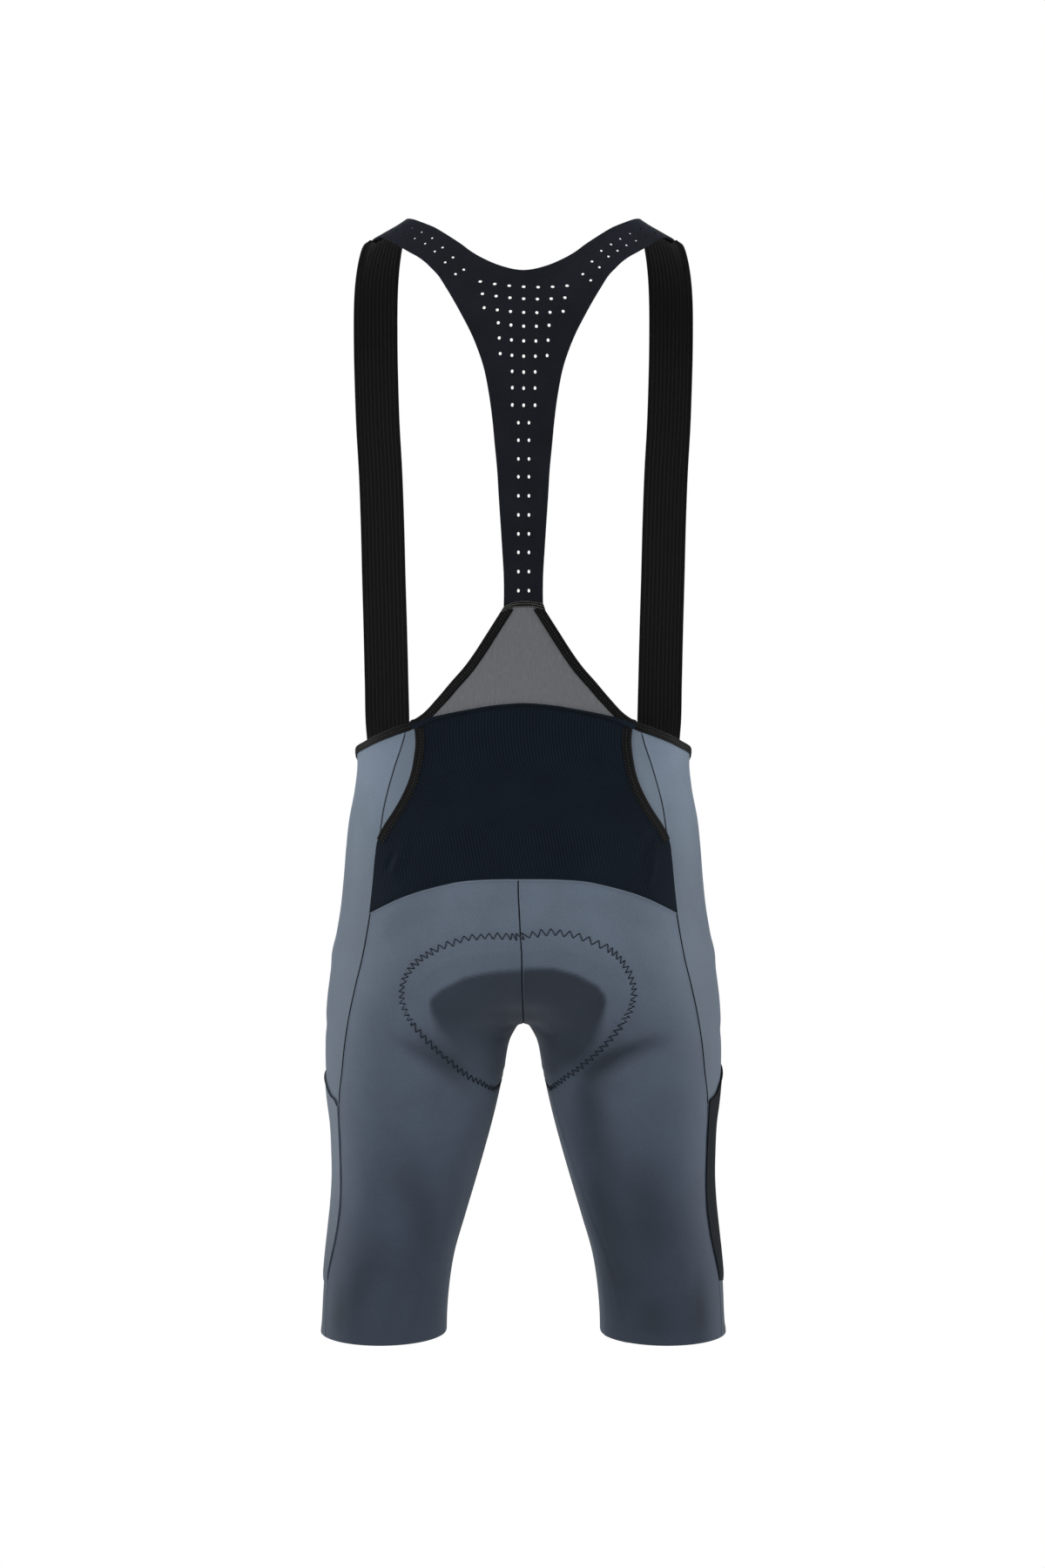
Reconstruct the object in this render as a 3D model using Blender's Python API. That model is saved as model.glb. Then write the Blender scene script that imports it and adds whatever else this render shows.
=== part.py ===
"""Cycling bib shorts, filled out as they are worn, with nobody inside.

Metres, +Z up. The back of the garment faces +Y and the front -Y. The wearer's left is +X. The origin is
level with the tops of the shoulder straps, midway between them, where the wearer's shoulders hold the
garment up. All sizes below are in millimetres, and heights are measured from that origin.

The cloth follows one form. Below the waist a cross-section is two leg ovals that merge above the crotch.
Every panel is a patch of that form between two named seams, so neighbours share their seam's points and
stand SEAM_GAP apart. Pieces that lie on a panel are made from the same form, moved out along its normals.
"""

import math

import bmesh
import bpy
import numpy as np

MM = 0.001

# ---------------------------------------------------------------- sizes
CLOTH = 1.2            # wall of a knitted panel
SEAM_GAP = 0.3         # between two pieces that are sewn together
POCKET_CLOTH = 1.0     # wall of the light pocket cloth
BINDING_WALL = 1.0     # each side of a folded binding
BINDING_SLACK = 0.7    # between a folded binding and the cloth in it
EDGE_BINDING_WIDTH = 6.8
POCKET_BINDING_WIDTH = 9.0
POCKET_LIFT = 0.6      # between the base back panel and the pocket where it is sewn down
OPENING_LIFT = 3.3     # the same at a pocket's bound opening
LEG_POCKET_LIFT = 0.5

STRAP_WIDTH = 40.0
STRAP_THICKNESS = 1.6
STRAP_SELVEDGE = 2.4   # plain edge beside the ribs
STRAP_RIBS = 9
STRAP_RIB_HEIGHT = 0.4
STRAP_BELOW_BINDING = 4.0  # the strap's end lies inside the folded binding of the front edge

PAD_CLEARANCE = 2.5    # form to the outer face of the chamois pad at its sewn rim
PAD_LOOSE = 1.0        # added in its middle, where it isn't sewn down
PAD_EDGE = 3.0
PAD_CUSHION = 6.0      # added where the sit bones rest

HEM = -968.0
CROTCH = -700.0
SEAT_CORNER = -599.5   # height where the pocket's lower seam meets the side seam
FRONT_LOW = -528.0     # top edge at the centre of the front
TAIL_END = -345.0      # lower end of the yoke's tail

# Cross-sections: a row for each height.
#   height, half width, leg centre, reach of the leg oval toward the middle, depth to the back,
#   depth to the front, power of the oval at the back, power at the front
SECTIONS = (
    (-968, 176.5, 121.8, 54.6, 61.0, 62.0, 2.0, 2.0),
    (-948, 175.2, 120.9, 54.4, 61.5, 62.5, 2.0, 2.0),
    (-917, 173.3, 118.6, 54.8, 64.0, 64.5, 2.0, 2.0),
    (-872, 168.7, 110.5, 58.1, 70.0, 69.0, 2.0, 2.0),
    (-835, 165.6, 103.6, 62.1, 76.0, 73.0, 2.0, 2.0),
    (-796, 166.4, 98.4, 68.0, 82.0, 77.0, 2.0, 2.0),
    (-765, 169.9, 96.2, 73.8, 88.0, 80.0, 2.0, 2.0),
    (-735, 172.1, 94.3, 77.8, 95.0, 83.0, 2.0, 2.0),
    (-718, 172.2, 93.0, 81.0, 100.0, 85.0, 2.0, 2.0),
    (-700, 172.0, 91.0, 83.07, 106.0, 88.0, 2.0, 2.0),
    (-692, 171.5, 89.7, 90.0, 109.0, 89.5, 2.0, 2.0),
    (-685, 171.2, 88.5, 98.0, 111.5, 91.0, 2.0, 2.0),
    (-670, 169.8, 85.0, 128.0, 116.0, 94.0, 2.0, 2.0),
    (-650, 167.1, 78.0, 190.0, 120.0, 98.0, 2.0, 2.05),
    (-628, 163.8, 66.0, 290.0, 121.5, 102.0, 2.0, 2.1),
    (-600, 159.2, 48.0, 420.0, 119.0, 106.0, 2.05, 2.3),
    (-575, 156.7, 32.0, 500.0, 114.0, 109.0, 2.1, 2.5),
    (-537, 153.5, 12.0, 500.0, 105.0, 110.0, 2.2, 2.9),
    (-507, 149.3, 4.0, 500.0, 98.0, 108.0, 2.25, 3.1),
    (-480, 144.3, 0.0, 500.0, 94.0, 105.0, 2.3, 3.2),
    (-462, 145.2, 0.0, 500.0, 92.5, 103.0, 2.3, 3.2),
    (-400, 150.0, 0.0, 500.0, 94.0, 100.0, 2.3, 3.0),
    (-335, 156.0, 0.0, 500.0, 101.0, 105.0, 2.3, 2.8),
    (-240, 164.0, 0.0, 500.0, 110.0, 114.0, 2.3, 2.6),
    (-120, 170.0, 0.0, 500.0, 113.0, 112.0, 2.3, 2.6),
)
# Softness of the bridge of cloth between the two leg ovals: height, softness
BRIDGE = ((-692, 0.8), (-685, 0.68), (-670, 0.48), (-650, 0.12), (-635, 0.0))
# Inner point that each half's seams and columns are spread around: height, distance from the middle
AXIS = (
    (-968, 121.8), (-917, 118.6), (-872, 110.5), (-835, 103.6), (-796, 98.4), (-765, 96.2),
    (-735, 94.3), (-700, 91.0), (-650, 84.0), (-600, 76.0), (-537, 70.0), (-440, 66.0),
)
# Top edge of the garment: angle from the side toward the back in degrees, height
TOP_EDGE = (
    (-90, FRONT_LOW), (-70, -521), (-50, -503), (-34, -487), (-18, -473), (0, -463), (17.1, -455.8),
    (28.4, -447.4), (35.1, -443.2), (38.4, -440.4), (43.2, -434.6), (54.4, -410.5), (67.4, -382.5),
    (80.3, -350.5), (80.7, -346),
)
SIDE_SEAM_TOP = 37.4   # angle where the side seam reaches the top edge
FRONT_SEAM_TOP = -19.0
TAIL_ANGLE = 80.7
# Seam between side panel and back: height, distance from the middle
BACK_SIDE_SEAM = (
    (-968, 171.0), (-948, 170.3), (-919, 168.4), (-888, 161.6), (-864, 157.3), (-837, 155.4),
    (-800, 156.2), (-764, 157.2), (-745, 154.8), (-709, 150.4), (-673, 143.4), (-636, 134.4),
    (-599.5, 128.3), (-543, 121.6), (-514, 118.0), (-489, 112.2), (-464, 103.8), (-441, 97.0),
)
# Seam between side panel and front: height, distance from the middle
FRONT_SIDE_SEAM = (
    (-968, 149.0), (-917, 146.0), (-870, 139.0), (-800, 134.0), (-765, 138.0), (-700, 145.0),
    (-650, 148.0), (-600, 148.0), (-537, 146.0), (-474, 140.0),
)
# Seam under the mesh panel, from the middle out: distance from the middle, height
MESH_SEAM = ((0, -425.2), (18.2, -426.3), (46.6, -430.6), (81.8, -437.6), (97.5, -441.3))
# Upper edge of the pocket: distance from the middle, height
POCKET_TOP = ((0, -426.2), (18.2, -427.3), (46.6, -431.8), (70.0, -437.0), (84.0, -442.2), (92.5, -447.0))
# Lower seam of the pocket: distance from the middle, height
SEAT_SEAM = ((0, -569.8), (20.0, -569.9), (46.0, -571.2), (70.2, -576.0), (99.1, -585.0), (128.3, -599.5))
# Bound opening at the side of the pocket: height, distance from the middle
POCKET_OPENING = (
    (-539, 120.4), (-528, 115.8), (-514, 107.8), (-501, 101.2), (-485.5, 95.5), (-467.5, 92.5),
    (-456, 91.5), (-447, 92.5),
)
# Leg pocket: angle from the side toward the back, height of its mouth, height of its lower edge
LEG_POCKET = ((-62, -726, -931), (-30, -728, -929), (0, -737, -925), (14, -747, -922), (32, -766, -919))

# Yoke, from the tail up and over the shoulder. Each row joins a point of its inner line, which is the
# middle and then the neck edge, to a point of its outer edge:
#   inner distance from the middle, inner drop, outer distance from the middle, outer drop
# A drop is measured down the back from the top of the shoulder, along the cloth.
YOKE = (
    (0.0, 402.0, 16.5, 405.0), (0.0, 378.0, 16.4, 380.0), (0.0, 357.0, 17.7, 357.0),
    (0.0, 335.0, 19.1, 335.0), (0.0, 314.0, 20.5, 314.0), (0.0, 292.0, 21.8, 292.0),
    (0.0, 271.0, 23.8, 271.0), (0.0, 249.0, 25.9, 249.0), (0.0, 227.0, 28.8, 228.0),
    (0.0, 204.0, 33.3, 206.0), (0.0, 183.0, 40.7, 185.0), (0.0, 163.0, 51.5, 166.5),
    (0.0, 145.0, 63.8, 147.0), (19.5, 139.7, 71.4, 134.5), (33.3, 132.5, 77.0, 127.0),
    (43.5, 125.0, 83.0, 118.7), (51.6, 117.0, 89.5, 110.5), (60.5, 107.7, 96.0, 102.5),
    (70.2, 96.0, 103.0, 92.0), (78.5, 84.5, 109.5, 79.5), (87.0, 70.0, 116.0, 64.0),
    (94.5, 52.0, 122.5, 45.0), (100.0, 32.0, 128.0, 26.0), (102.5, 14.0, 131.5, 10.0),
    (103.5, -3.0, 133.5, -5.0), (105.0, -20.0, 135.5, -20.0),
)
YOKE_COLUMNS = 4       # in each half
SHOULDER_DROP = 180.0  # cloth from the top of the shoulder to where the back is upright
UPRIGHT_AT = -120.0    # height where the back is upright
SHOULDER_SLOPE = 0.55
SHOULDER_ZERO = 98.4   # distance from the middle where the top of the shoulder is level with the origin

# Strap, from the shoulder down the front: distance from the middle, depth (front is negative), height,
# tilt of its outer edge downward, turn of its outer edge toward the back
STRAP = (
    (129.6, -44.0, -29.0, 23, 2), (132.4, -60.0, -41.5, 17, 3), (133.8, -74.0, -57.0, 11, 3),
    (134.4, -85.5, -78.0, 6, 3), (134.4, -93.0, -103.0, 2, 2),
    (134.0, -98.0, -130.0, 0, 2), (133.2, -102.0, -160.0, 0, 2), (130.8, -105.5, -207.0, 0, 2),
    (129.1, -106.5, -255.0, 0, 2), (127.8, -105.0, -303.0, 0, 2), (126.2, -100.5, -351.0, 0, 3),
    (124.7, -94.0, -399.0, 0, 5), (123.3, -86.0, -442.0, 0, 13),
)
# The strap's first rows, under the yoke's arm: drop (in front of the shoulder's top), distance from the middle
STRAP_SHOULDER = ((8, 119.8), (-4, 120.8), (-14, 122.2), (-24, 123.8), (-38, 126.2))
STRAP_SHOULDER_TILT = 29
STRAP_UNDER_YOKE = 2.1
STRAP_FOOT = (-471, -485, -499, -513)  # heights of the strap's rows that lie inside the front edge
STRAP_FOOT_X = 121.6
STRAP_FOOT_TURN = 38

# Chamois pad along the centre line, from its back end under the crotch to its front end:
#   distance along the line, half width, cushion from 0 to 1
PAD = (
    (0, 42, 0.0), (7, 66, 0.05), (18, 82, 0.2), (34, 92, 0.45), (52, 96, 0.75), (72, 94, 1.0),
    (94, 86, 1.0), (118, 74, 0.85), (144, 62, 0.7), (170, 55, 0.6), (196, 52, 0.5), (222, 54, 0.4),
    (246, 55, 0.25), (266, 50, 0.1), (280, 34, 0.0),
)
PAD_TOP = -617.0
PAD_COLUMNS = 6        # in each half

# Rows of the panels: top edge to the seat corner, seat corner to the crotch, crotch to the hem
WAIST_SHARES = (0, 0.07, 0.25, 0.44, 0.63, 0.82, 1)
ROWS_WAIST, ROWS_SEAT, ROWS_LEG = len(WAIST_SHARES) - 1, 9, 10
CROTCH_ROW = ROWS_WAIST + ROWS_SEAT
HEM_ROW = CROTCH_ROW + ROWS_LEG
BACK_COLUMNS, SIDE_COLUMNS, FRONT_COLUMNS, BASE_COLUMNS, MESH_ROWS = 13, 8, 10, 14, 7

# name: colour, roughness
COLOURS = {
    "seat blue": ((0.104, 0.130, 0.165), 0.62),
    "side blue": ((0.190, 0.225, 0.280), 0.62),
    "navy pocket": ((0.010, 0.015, 0.022), 0.70),
    "black": ((0.006, 0.006, 0.007), 0.75),
    "navy yoke": ((0.010, 0.012, 0.018), 0.55),
    "grey mesh": ((0.130, 0.130, 0.135), 0.80),
    "black pocket": ((0.014, 0.018, 0.024), 0.70),
    "pad": ((0.020, 0.020, 0.024), 0.90),
}


# ---------------------------------------------------------------- the form
def smooth(table, column):
    """A smooth curve through one column of a table whose first column rises, with no overshoot."""
    xs = np.array([row[0] for row in table], float)
    ys = np.array([row[column] for row in table], float)
    step = np.diff(xs)
    rise = np.diff(ys) / step
    slope = np.zeros(len(xs))
    before, after = 2 * step[1:] + step[:-1], step[1:] + 2 * step[:-1]
    monotone = rise[:-1] * rise[1:] > 0
    weights = (before + after)[monotone]
    slope[1:-1][monotone] = weights / (before[monotone] / rise[:-1][monotone] + after[monotone] / rise[1:][monotone])
    slope[0], slope[-1] = rise[0], rise[-1]

    def at(x):
        x = np.clip(np.asarray(x, float), xs[0], xs[-1])
        k = np.clip(np.searchsorted(xs, x, side="right") - 1, 0, len(xs) - 2)
        t = (x - xs[k]) / step[k]
        return (
            (1 + 2 * t) * (1 - t) ** 2 * ys[k]
            + t * (1 - t) ** 2 * step[k] * slope[k]
            + t * t * (3 - 2 * t) * ys[k + 1]
            + t * t * (t - 1) * step[k] * slope[k + 1]
        )

    return at


half_width, leg_centre, inner_reach, back_depth, front_depth, back_power, front_power = (
    smooth(SECTIONS, column) for column in range(1, 8)
)
bridge = smooth(BRIDGE, 1)
axis_x = smooth(AXIS, 1)
top_edge_height = smooth(TOP_EDGE, 1)
back_seam_x = smooth(BACK_SIDE_SEAM, 1)
front_seam_x = smooth(FRONT_SIDE_SEAM, 1)
mesh_seam_height = smooth(MESH_SEAM, 1)
pocket_top_height = smooth(POCKET_TOP, 1)
seat_seam_height = smooth(SEAT_SEAM, 1)
opening_x = smooth(POCKET_OPENING, 1)


def outside(x, y, z):
    """Below 0 inside the form and above 0 outside it."""
    x = np.abs(x)
    centre = leg_centre(z)
    power = np.where(y >= 0, back_power(z), front_power(z))
    along = (np.abs(y) / np.where(y >= 0, back_depth(z), front_depth(z))) ** power - 1
    reach = np.where(x > centre, half_width(z) - centre, inner_reach(z))
    near = (np.abs(x - centre) / reach) ** power + along
    far = ((x + centre) / inner_reach(z)) ** power + along
    softness = bridge(z)
    joined = softness > 1e-6
    blend = np.maximum(softness - np.abs(far - near), 0) / np.where(joined, softness, 1)
    return np.where(joined, np.minimum(near, far) - blend**2 * softness / 4, near)


def first_crossing(point_at, longest):
    """Where each ray leaves the form, by halving."""
    low, high = np.zeros(np.shape(longest)), np.array(longest, float)
    for _ in range(44):
        middle = (low + high) / 2
        out = outside(*point_at(middle)) > 0
        high, low = np.where(out, middle, high), np.where(out, low, middle)
    return np.stack(point_at((low + high) / 2), -1)


def ring_point(angle, z, from_x=None):
    """The form's point at an angle, from the side toward the back in degrees, about an upright axis."""
    angle, z = np.broadcast_arrays(np.asarray(angle, float), np.asarray(z, float))
    from_x = axis_x(z) if from_x is None else np.full(z.shape, float(from_x))
    across, back = np.cos(np.radians(angle)), np.sin(np.radians(angle))
    longest = np.where(across < -1e-9, np.minimum(from_x / np.maximum(-across, 1e-9), 300), 300)
    return first_crossing(lambda r: (from_x + r * across, r * back, z), longest)


def face_point(x, z, face=1):
    """The form's point at a distance from the middle, on the back (face 1) or on the front (face -1)."""
    x, z = np.broadcast_arrays(np.asarray(x, float), np.asarray(z, float))
    return first_crossing(lambda r: (x, face * r, z), np.full(z.shape, 200.0))


def normals_of(points):
    """Outward normals of the form."""
    step = 0.05
    gradient = np.zeros(points.shape)
    for k in range(3):
        shift = np.zeros(3)
        shift[k] = step
        after, before = points + shift, points - shift
        gradient[..., k] = outside(*np.moveaxis(after, -1, 0)) - outside(*np.moveaxis(before, -1, 0))
    return gradient / np.linalg.norm(gradient, axis=-1, keepdims=True)


def angle_of(points):
    return np.degrees(np.arctan2(points[..., 1], points[..., 0] - axis_x(points[..., 2])))


def shoulder_point(x, drop):
    """A point of the upper back, or of the shoulder's front at a negative drop."""
    turn = np.radians(90 * np.minimum(drop, SHOULDER_DROP) / SHOULDER_DROP)
    top = SHOULDER_SLOPE * (SHOULDER_ZERO - np.abs(x))
    depth = face_point(np.abs(x), np.full(np.shape(x), UPRIGHT_AT))[..., 1]
    over = np.stack([x, depth * np.sin(turn), UPRIGHT_AT + (top - UPRIGHT_AT) * np.cos(turn)], -1)
    down = face_point(np.abs(x), UPRIGHT_AT - np.maximum(drop - SHOULDER_DROP, 0))
    down[..., 0] = x
    return np.where((drop > SHOULDER_DROP)[..., None], down, over)


# ---------------------------------------------------------------- building solids
def unit(vectors):
    return vectors / np.linalg.norm(vectors, axis=-1, keepdims=True)


def mirrored(points):
    return points * np.array([-1.0, 1.0, 1.0])


def trimmed(points, normals, sides):
    """Moves the named boundary lines of a patch inward by half a seam gap, along the cloth."""
    points = points.copy()
    lines = {"top": (0, 1), "bottom": (-1, -2), "start": (0, 1), "end": (-1, -2)}
    for side in sides:
        edge, inner = lines[side]
        if side in ("top", "bottom"):
            line, next_line, normal = points[edge], points[inner], normals[edge]
        else:
            line, next_line, normal = points[:, edge], points[:, inner], normals[:, edge]
        inward = unit(np.cross(normal, np.gradient(line, axis=0)))
        inward *= np.sign((inward * (next_line - line)).sum(-1, keepdims=True))
        line += inward * SEAM_GAP / 2
    return points


def material_of(name):
    if name not in bpy.data.materials:
        colour, roughness = COLOURS[name]
        material = bpy.data.materials.new(name)
        material.use_nodes = True
        shader = material.node_tree.nodes["Principled BSDF"]
        shader.inputs["Base Color"].default_value = (*colour, 1)
        shader.inputs["Roughness"].default_value = roughness
        shader.inputs["Metallic"].default_value = 0
        material.diffuse_color = (*colour, 1)
    return bpy.data.materials[name]


def add_solid(name, vertices, faces, colour):
    mesh = bpy.data.meshes.new(name)
    mesh.from_pydata((np.asarray(vertices) * MM).tolist(), [], faces)
    working = bmesh.new()
    working.from_mesh(mesh)
    bmesh.ops.recalc_face_normals(working, faces=working.faces)
    bmesh.ops.triangulate(working, faces=working.faces, quad_method="SHORT_EDGE")
    working.to_mesh(mesh)
    working.free()
    mesh.shade_smooth()
    mesh.set_sharp_from_angle(angle=math.radians(50))
    mesh.materials.append(material_of(colour))
    solid = bpy.data.objects.new(name, mesh)
    bpy.context.scene.collection.objects.link(solid)
    solid.parent = bpy.data.objects["garment"]
    return solid


def add_wall(name, outer, inner, colour):
    """A closed wall between two grids of points."""
    rows, columns = outer.shape[:2]
    count = rows * columns
    number = np.arange(count).reshape(rows, columns)
    cells = np.stack([number[:-1, :-1], number[:-1, 1:], number[1:, 1:], number[1:, :-1]], -1).reshape(-1, 4)
    rim = np.concatenate([number[0], number[1:, -1], number[-1, -2::-1], number[-2:0:-1, 0]])
    following = np.roll(rim, -1)
    faces = cells.tolist() + (cells[:, ::-1] + count).tolist()
    faces += np.stack([following, rim, rim + count, following + count], -1).tolist()
    add_solid(name, np.concatenate([outer.reshape(-1, 3), inner.reshape(-1, 3)]), faces, colour)


def add_panel(name, points, colour, sides, side=1, thickness=CLOTH):
    """A panel of cloth whose outer face lies on the form, on the left (side 1) or on the right (side -1)."""
    normals = normals_of(points)
    outer = trimmed(points, normals, sides)
    inner = outer - normals * thickness
    if side < 0:
        outer, inner = mirrored(outer), mirrored(inner)
    add_wall(name, outer, inner, colour)


def add_swept(name, line, out, into, profile, colour):
    """A closed bar: a profile of (out, into) sizes carried along a line of points."""
    profile = np.array(profile)
    rings = line[:, None] + out[:, None] * profile[None, :, :1] + into[:, None] * profile[None, :, 1:]
    count, corners = rings.shape[:2]
    number = np.arange(count * corners).reshape(count, corners)
    following = np.roll(number, -1, axis=1)
    faces = np.stack([number[:-1], following[:-1], following[1:], number[1:]], -1).reshape(-1, 4).tolist()
    half = corners // 2
    for ring in (number[0], number[-1]):
        faces += [[ring[k], ring[k + 1], ring[-k - 2], ring[-k - 1]] for k in range(half - 1)]
    add_solid(name, rings.reshape(-1, 3), faces, colour)


def fold_profile(width, cloth):
    """Folded binding round an edge of cloth, as (out, into) sizes from the edge of the cloth's outer face."""
    slot_out, slot_in = BINDING_SLACK, -cloth - BINDING_SLACK
    out, back = slot_out + BINDING_WALL, slot_in - BINDING_WALL
    top, foot = -SEAM_GAP - BINDING_WALL, width - SEAM_GAP - BINDING_WALL
    return (
        (slot_out, foot), (slot_out, -SEAM_GAP), (slot_in, -SEAM_GAP), (slot_in, foot),
        (back, foot), (back, top), (out, top), (out, foot),
    )


# ---------------------------------------------------------------- seams and patches
def top_edge(angles):
    """Points of the garment's top edge at angles about the middle of the waist."""
    return ring_point(angles, top_edge_height(angles), from_x=0.0)


def spaced(points, shares):
    """Points at shares of a line's length."""
    length = np.concatenate([[0], np.cumsum(np.linalg.norm(np.diff(points, axis=0), axis=1))])
    return np.stack([np.interp(length[-1] * shares, length, points[:, k]) for k in range(3)], -1)


def centre_line(z, face):
    """Points of the form on the middle plane, above the crotch."""
    power = np.where(face > 0, back_power(z), front_power(z))
    depth = np.where(face > 0, back_depth(z), front_depth(z))
    share = 1 + bridge(z) / 4 - (leg_centre(z) / inner_reach(z)) ** power
    return np.stack([0 * z, face * depth * np.maximum(share, 0) ** (1 / power), z], -1)


def seam_down(x_at, top, face):
    """A side seam: its top point, ROWS_WAIST rows to the seat corner and the rest to the hem."""
    waist = top[2] + (SEAT_CORNER - top[2]) * np.array(WAIST_SHARES[1:])
    below = np.linspace(SEAT_CORNER, HEM, HEM_ROW - ROWS_WAIST + 1)[1:]
    heights = np.concatenate([waist, below])
    return np.concatenate([top[None], face_point(x_at(heights), heights, face)])


def middle_seam(top_height, face, shares):
    """The centre seam from top_height to the crotch, and on down the inside of the leg to the hem."""
    heights = CROTCH + (top_height - CROTCH) * np.linspace(1, 0, 400) ** 2
    line = spaced(centre_line(heights, face), shares)
    line[:, 1] = centre_line(line[:, 2], face)[:, 1]
    share = np.linspace(0, 1, ROWS_LEG + 1)[1:] ** 1.3
    inseam = ring_point(180.0, CROTCH + (HEM - CROTCH) * share)
    return np.concatenate([line, inseam])


def patch(start, end, top, bottom, shares):
    """A grid of the form's points between two seams, whose first and last rows are top and bottom.

    start and end are lines of points with a point for each row; top and bottom have one for each column."""
    def flat(points):
        angle = angle_of(points)
        on_middle = np.abs(points[..., 0]) < 1e-6
        angle = np.where(on_middle & (np.abs(points[..., 1]) < 1e-6), 180.0, angle)
        return np.stack([angle, points[..., 2]], -1)

    first, last, upper, lower = flat(start), flat(end), flat(top), flat(bottom)
    if first[0, 0] < 0:
        last[:, 0] = -np.abs(last[:, 0])
        upper[-1, 0], lower[-1, 0] = -abs(upper[-1, 0]), -abs(lower[-1, 0])
    u = np.asarray(shares)[None, :, None]
    v = np.linspace(0, 1, len(start))[:, None, None]
    grid = (1 - u) * first[:, None] + u * last[:, None]
    grid = grid + (1 - v) ** 2 * (upper - ((1 - u[0]) * upper[0] + u[0] * upper[-1]))
    grid = grid + v**2 * (lower - ((1 - u[0]) * lower[0] + u[0] * lower[-1]))
    points = ring_point(grid[..., 0], grid[..., 1])
    points[:, 0], points[:, -1], points[0], points[-1] = start, end, top, bottom
    return points


def across_back(edge, top_height, bottom_height, columns):
    """A grid across the whole back. edge holds the left boundary's points, a row each."""
    u = np.linspace(-1, 1, columns + 1)[None]
    v = np.linspace(0, 1, len(edge))[:, None]
    x = edge[:, :1] * u
    first = top_height(edge[0, 0] * np.abs(u)) - top_height(edge[0, 0])
    last = bottom_height(edge[-1, 0] * np.abs(u)) - bottom_height(edge[-1, 0])
    z = edge[:, 2:] + (1 - v) ** 2 * first + v**2 * last
    points = face_point(np.abs(x), z)
    points[..., 0] = x
    return points


def back_half_columns():
    return 1 - (1 - np.linspace(0, 1, BACK_COLUMNS + 1)) ** 1.15


side_seam = seam_down(back_seam_x, top_edge(np.array([SIDE_SEAM_TOP]))[0], 1)
front_seam = seam_down(front_seam_x, top_edge(np.array([FRONT_SEAM_TOP]))[0], -1)
back_middle = middle_seam(float(SEAT_SEAM[0][1]), 1, 1 - np.linspace(1, 0, ROWS_SEAT + 1) ** 1.35)
front_rows = 1 - np.linspace(1, 0, CROTCH_ROW) ** 1.25
front_middle = middle_seam(FRONT_LOW, -1, np.concatenate([[0], 0.04 + 0.96 * front_rows]))


# ---------------------------------------------------------------- the pieces
def ring_row(start, end, shares):
    """A level row between two points of the form."""
    low, high = angle_of(start), angle_of(end)
    if abs(start[1]) + abs(end[1]) and low < 0:
        high = -abs(high)
    points = ring_point(low + (high - low) * np.asarray(shares), start[2] + (end[2] - start[2]) * np.asarray(shares))
    points[0], points[-1] = start, end
    return points


def make_back_legs():
    shares = back_half_columns()
    start, end = side_seam[ROWS_WAIST:], back_middle
    x = start[0, 0] * (1 - shares)
    top = face_point(x, seat_seam_height(x))
    top[0] = start[0]
    grid = patch(start, end, top, ring_row(start[-1], end[-1], shares), shares)
    for name, side in (("back_leg_left", 1), ("back_leg_right", -1)):
        add_panel(name, grid, "seat blue", ("top", "start", "end"), side)


def make_side_panels():
    shares = np.linspace(0, 1, SIDE_COLUMNS + 1)
    top = top_edge(SIDE_SEAM_TOP + (FRONT_SEAM_TOP - SIDE_SEAM_TOP) * shares)
    bottom = ring_row(side_seam[-1], front_seam[-1], shares)
    grid = patch(side_seam, front_seam, top, bottom, shares)
    for name, side in (("side_panel_left", 1), ("side_panel_right", -1)):
        add_panel(name, grid, "side blue", ("start", "end"), side)
    return grid


def make_front_legs():
    shares = np.linspace(0, 1, FRONT_COLUMNS + 1)
    top = top_edge(FRONT_SEAM_TOP + (-90 - FRONT_SEAM_TOP) * shares)
    top[-1] = front_middle[0]
    bottom = ring_row(front_seam[-1], front_middle[-1], shares)
    grid = patch(front_seam, front_middle, top, bottom, shares)
    for name, side in (("front_leg_left", 1), ("front_leg_right", -1)):
        add_panel(name, grid, "seat blue", ("start", "end"), side)
    return grid


def make_base_back():
    grid = across_back(side_seam[: ROWS_WAIST + 1], mesh_seam_height, seat_seam_height, BASE_COLUMNS)
    add_panel("base_back_panel", grid, "side blue", ("top", "bottom", "start", "end"))


def make_mesh_panel():
    angles = np.linspace(TAIL_ANGLE, SIDE_SEAM_TOP, MESH_ROWS + 1)
    edge = top_edge(angles)
    tail = smooth(((0, TAIL_END + 3), (edge[0, 0], edge[0, 2])), 1)
    grid = across_back(edge, tail, mesh_seam_height, BASE_COLUMNS)
    add_panel("bib_mesh_panel", grid, "grey mesh", ("top", "bottom"))
    return grid


def edge_frame(line, next_line):
    """Directions out of the cloth and into it, along an edge, from the line of points beside that edge."""
    along = np.gradient(line, axis=0)
    out = unit(np.cross(along, next_line - line))
    out *= np.sign((out * normals_of(line)).sum(-1, keepdims=True))
    into = unit(np.cross(out, along))
    into *= np.sign((into * (next_line - line)).sum(-1, keepdims=True))
    return out, into


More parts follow.
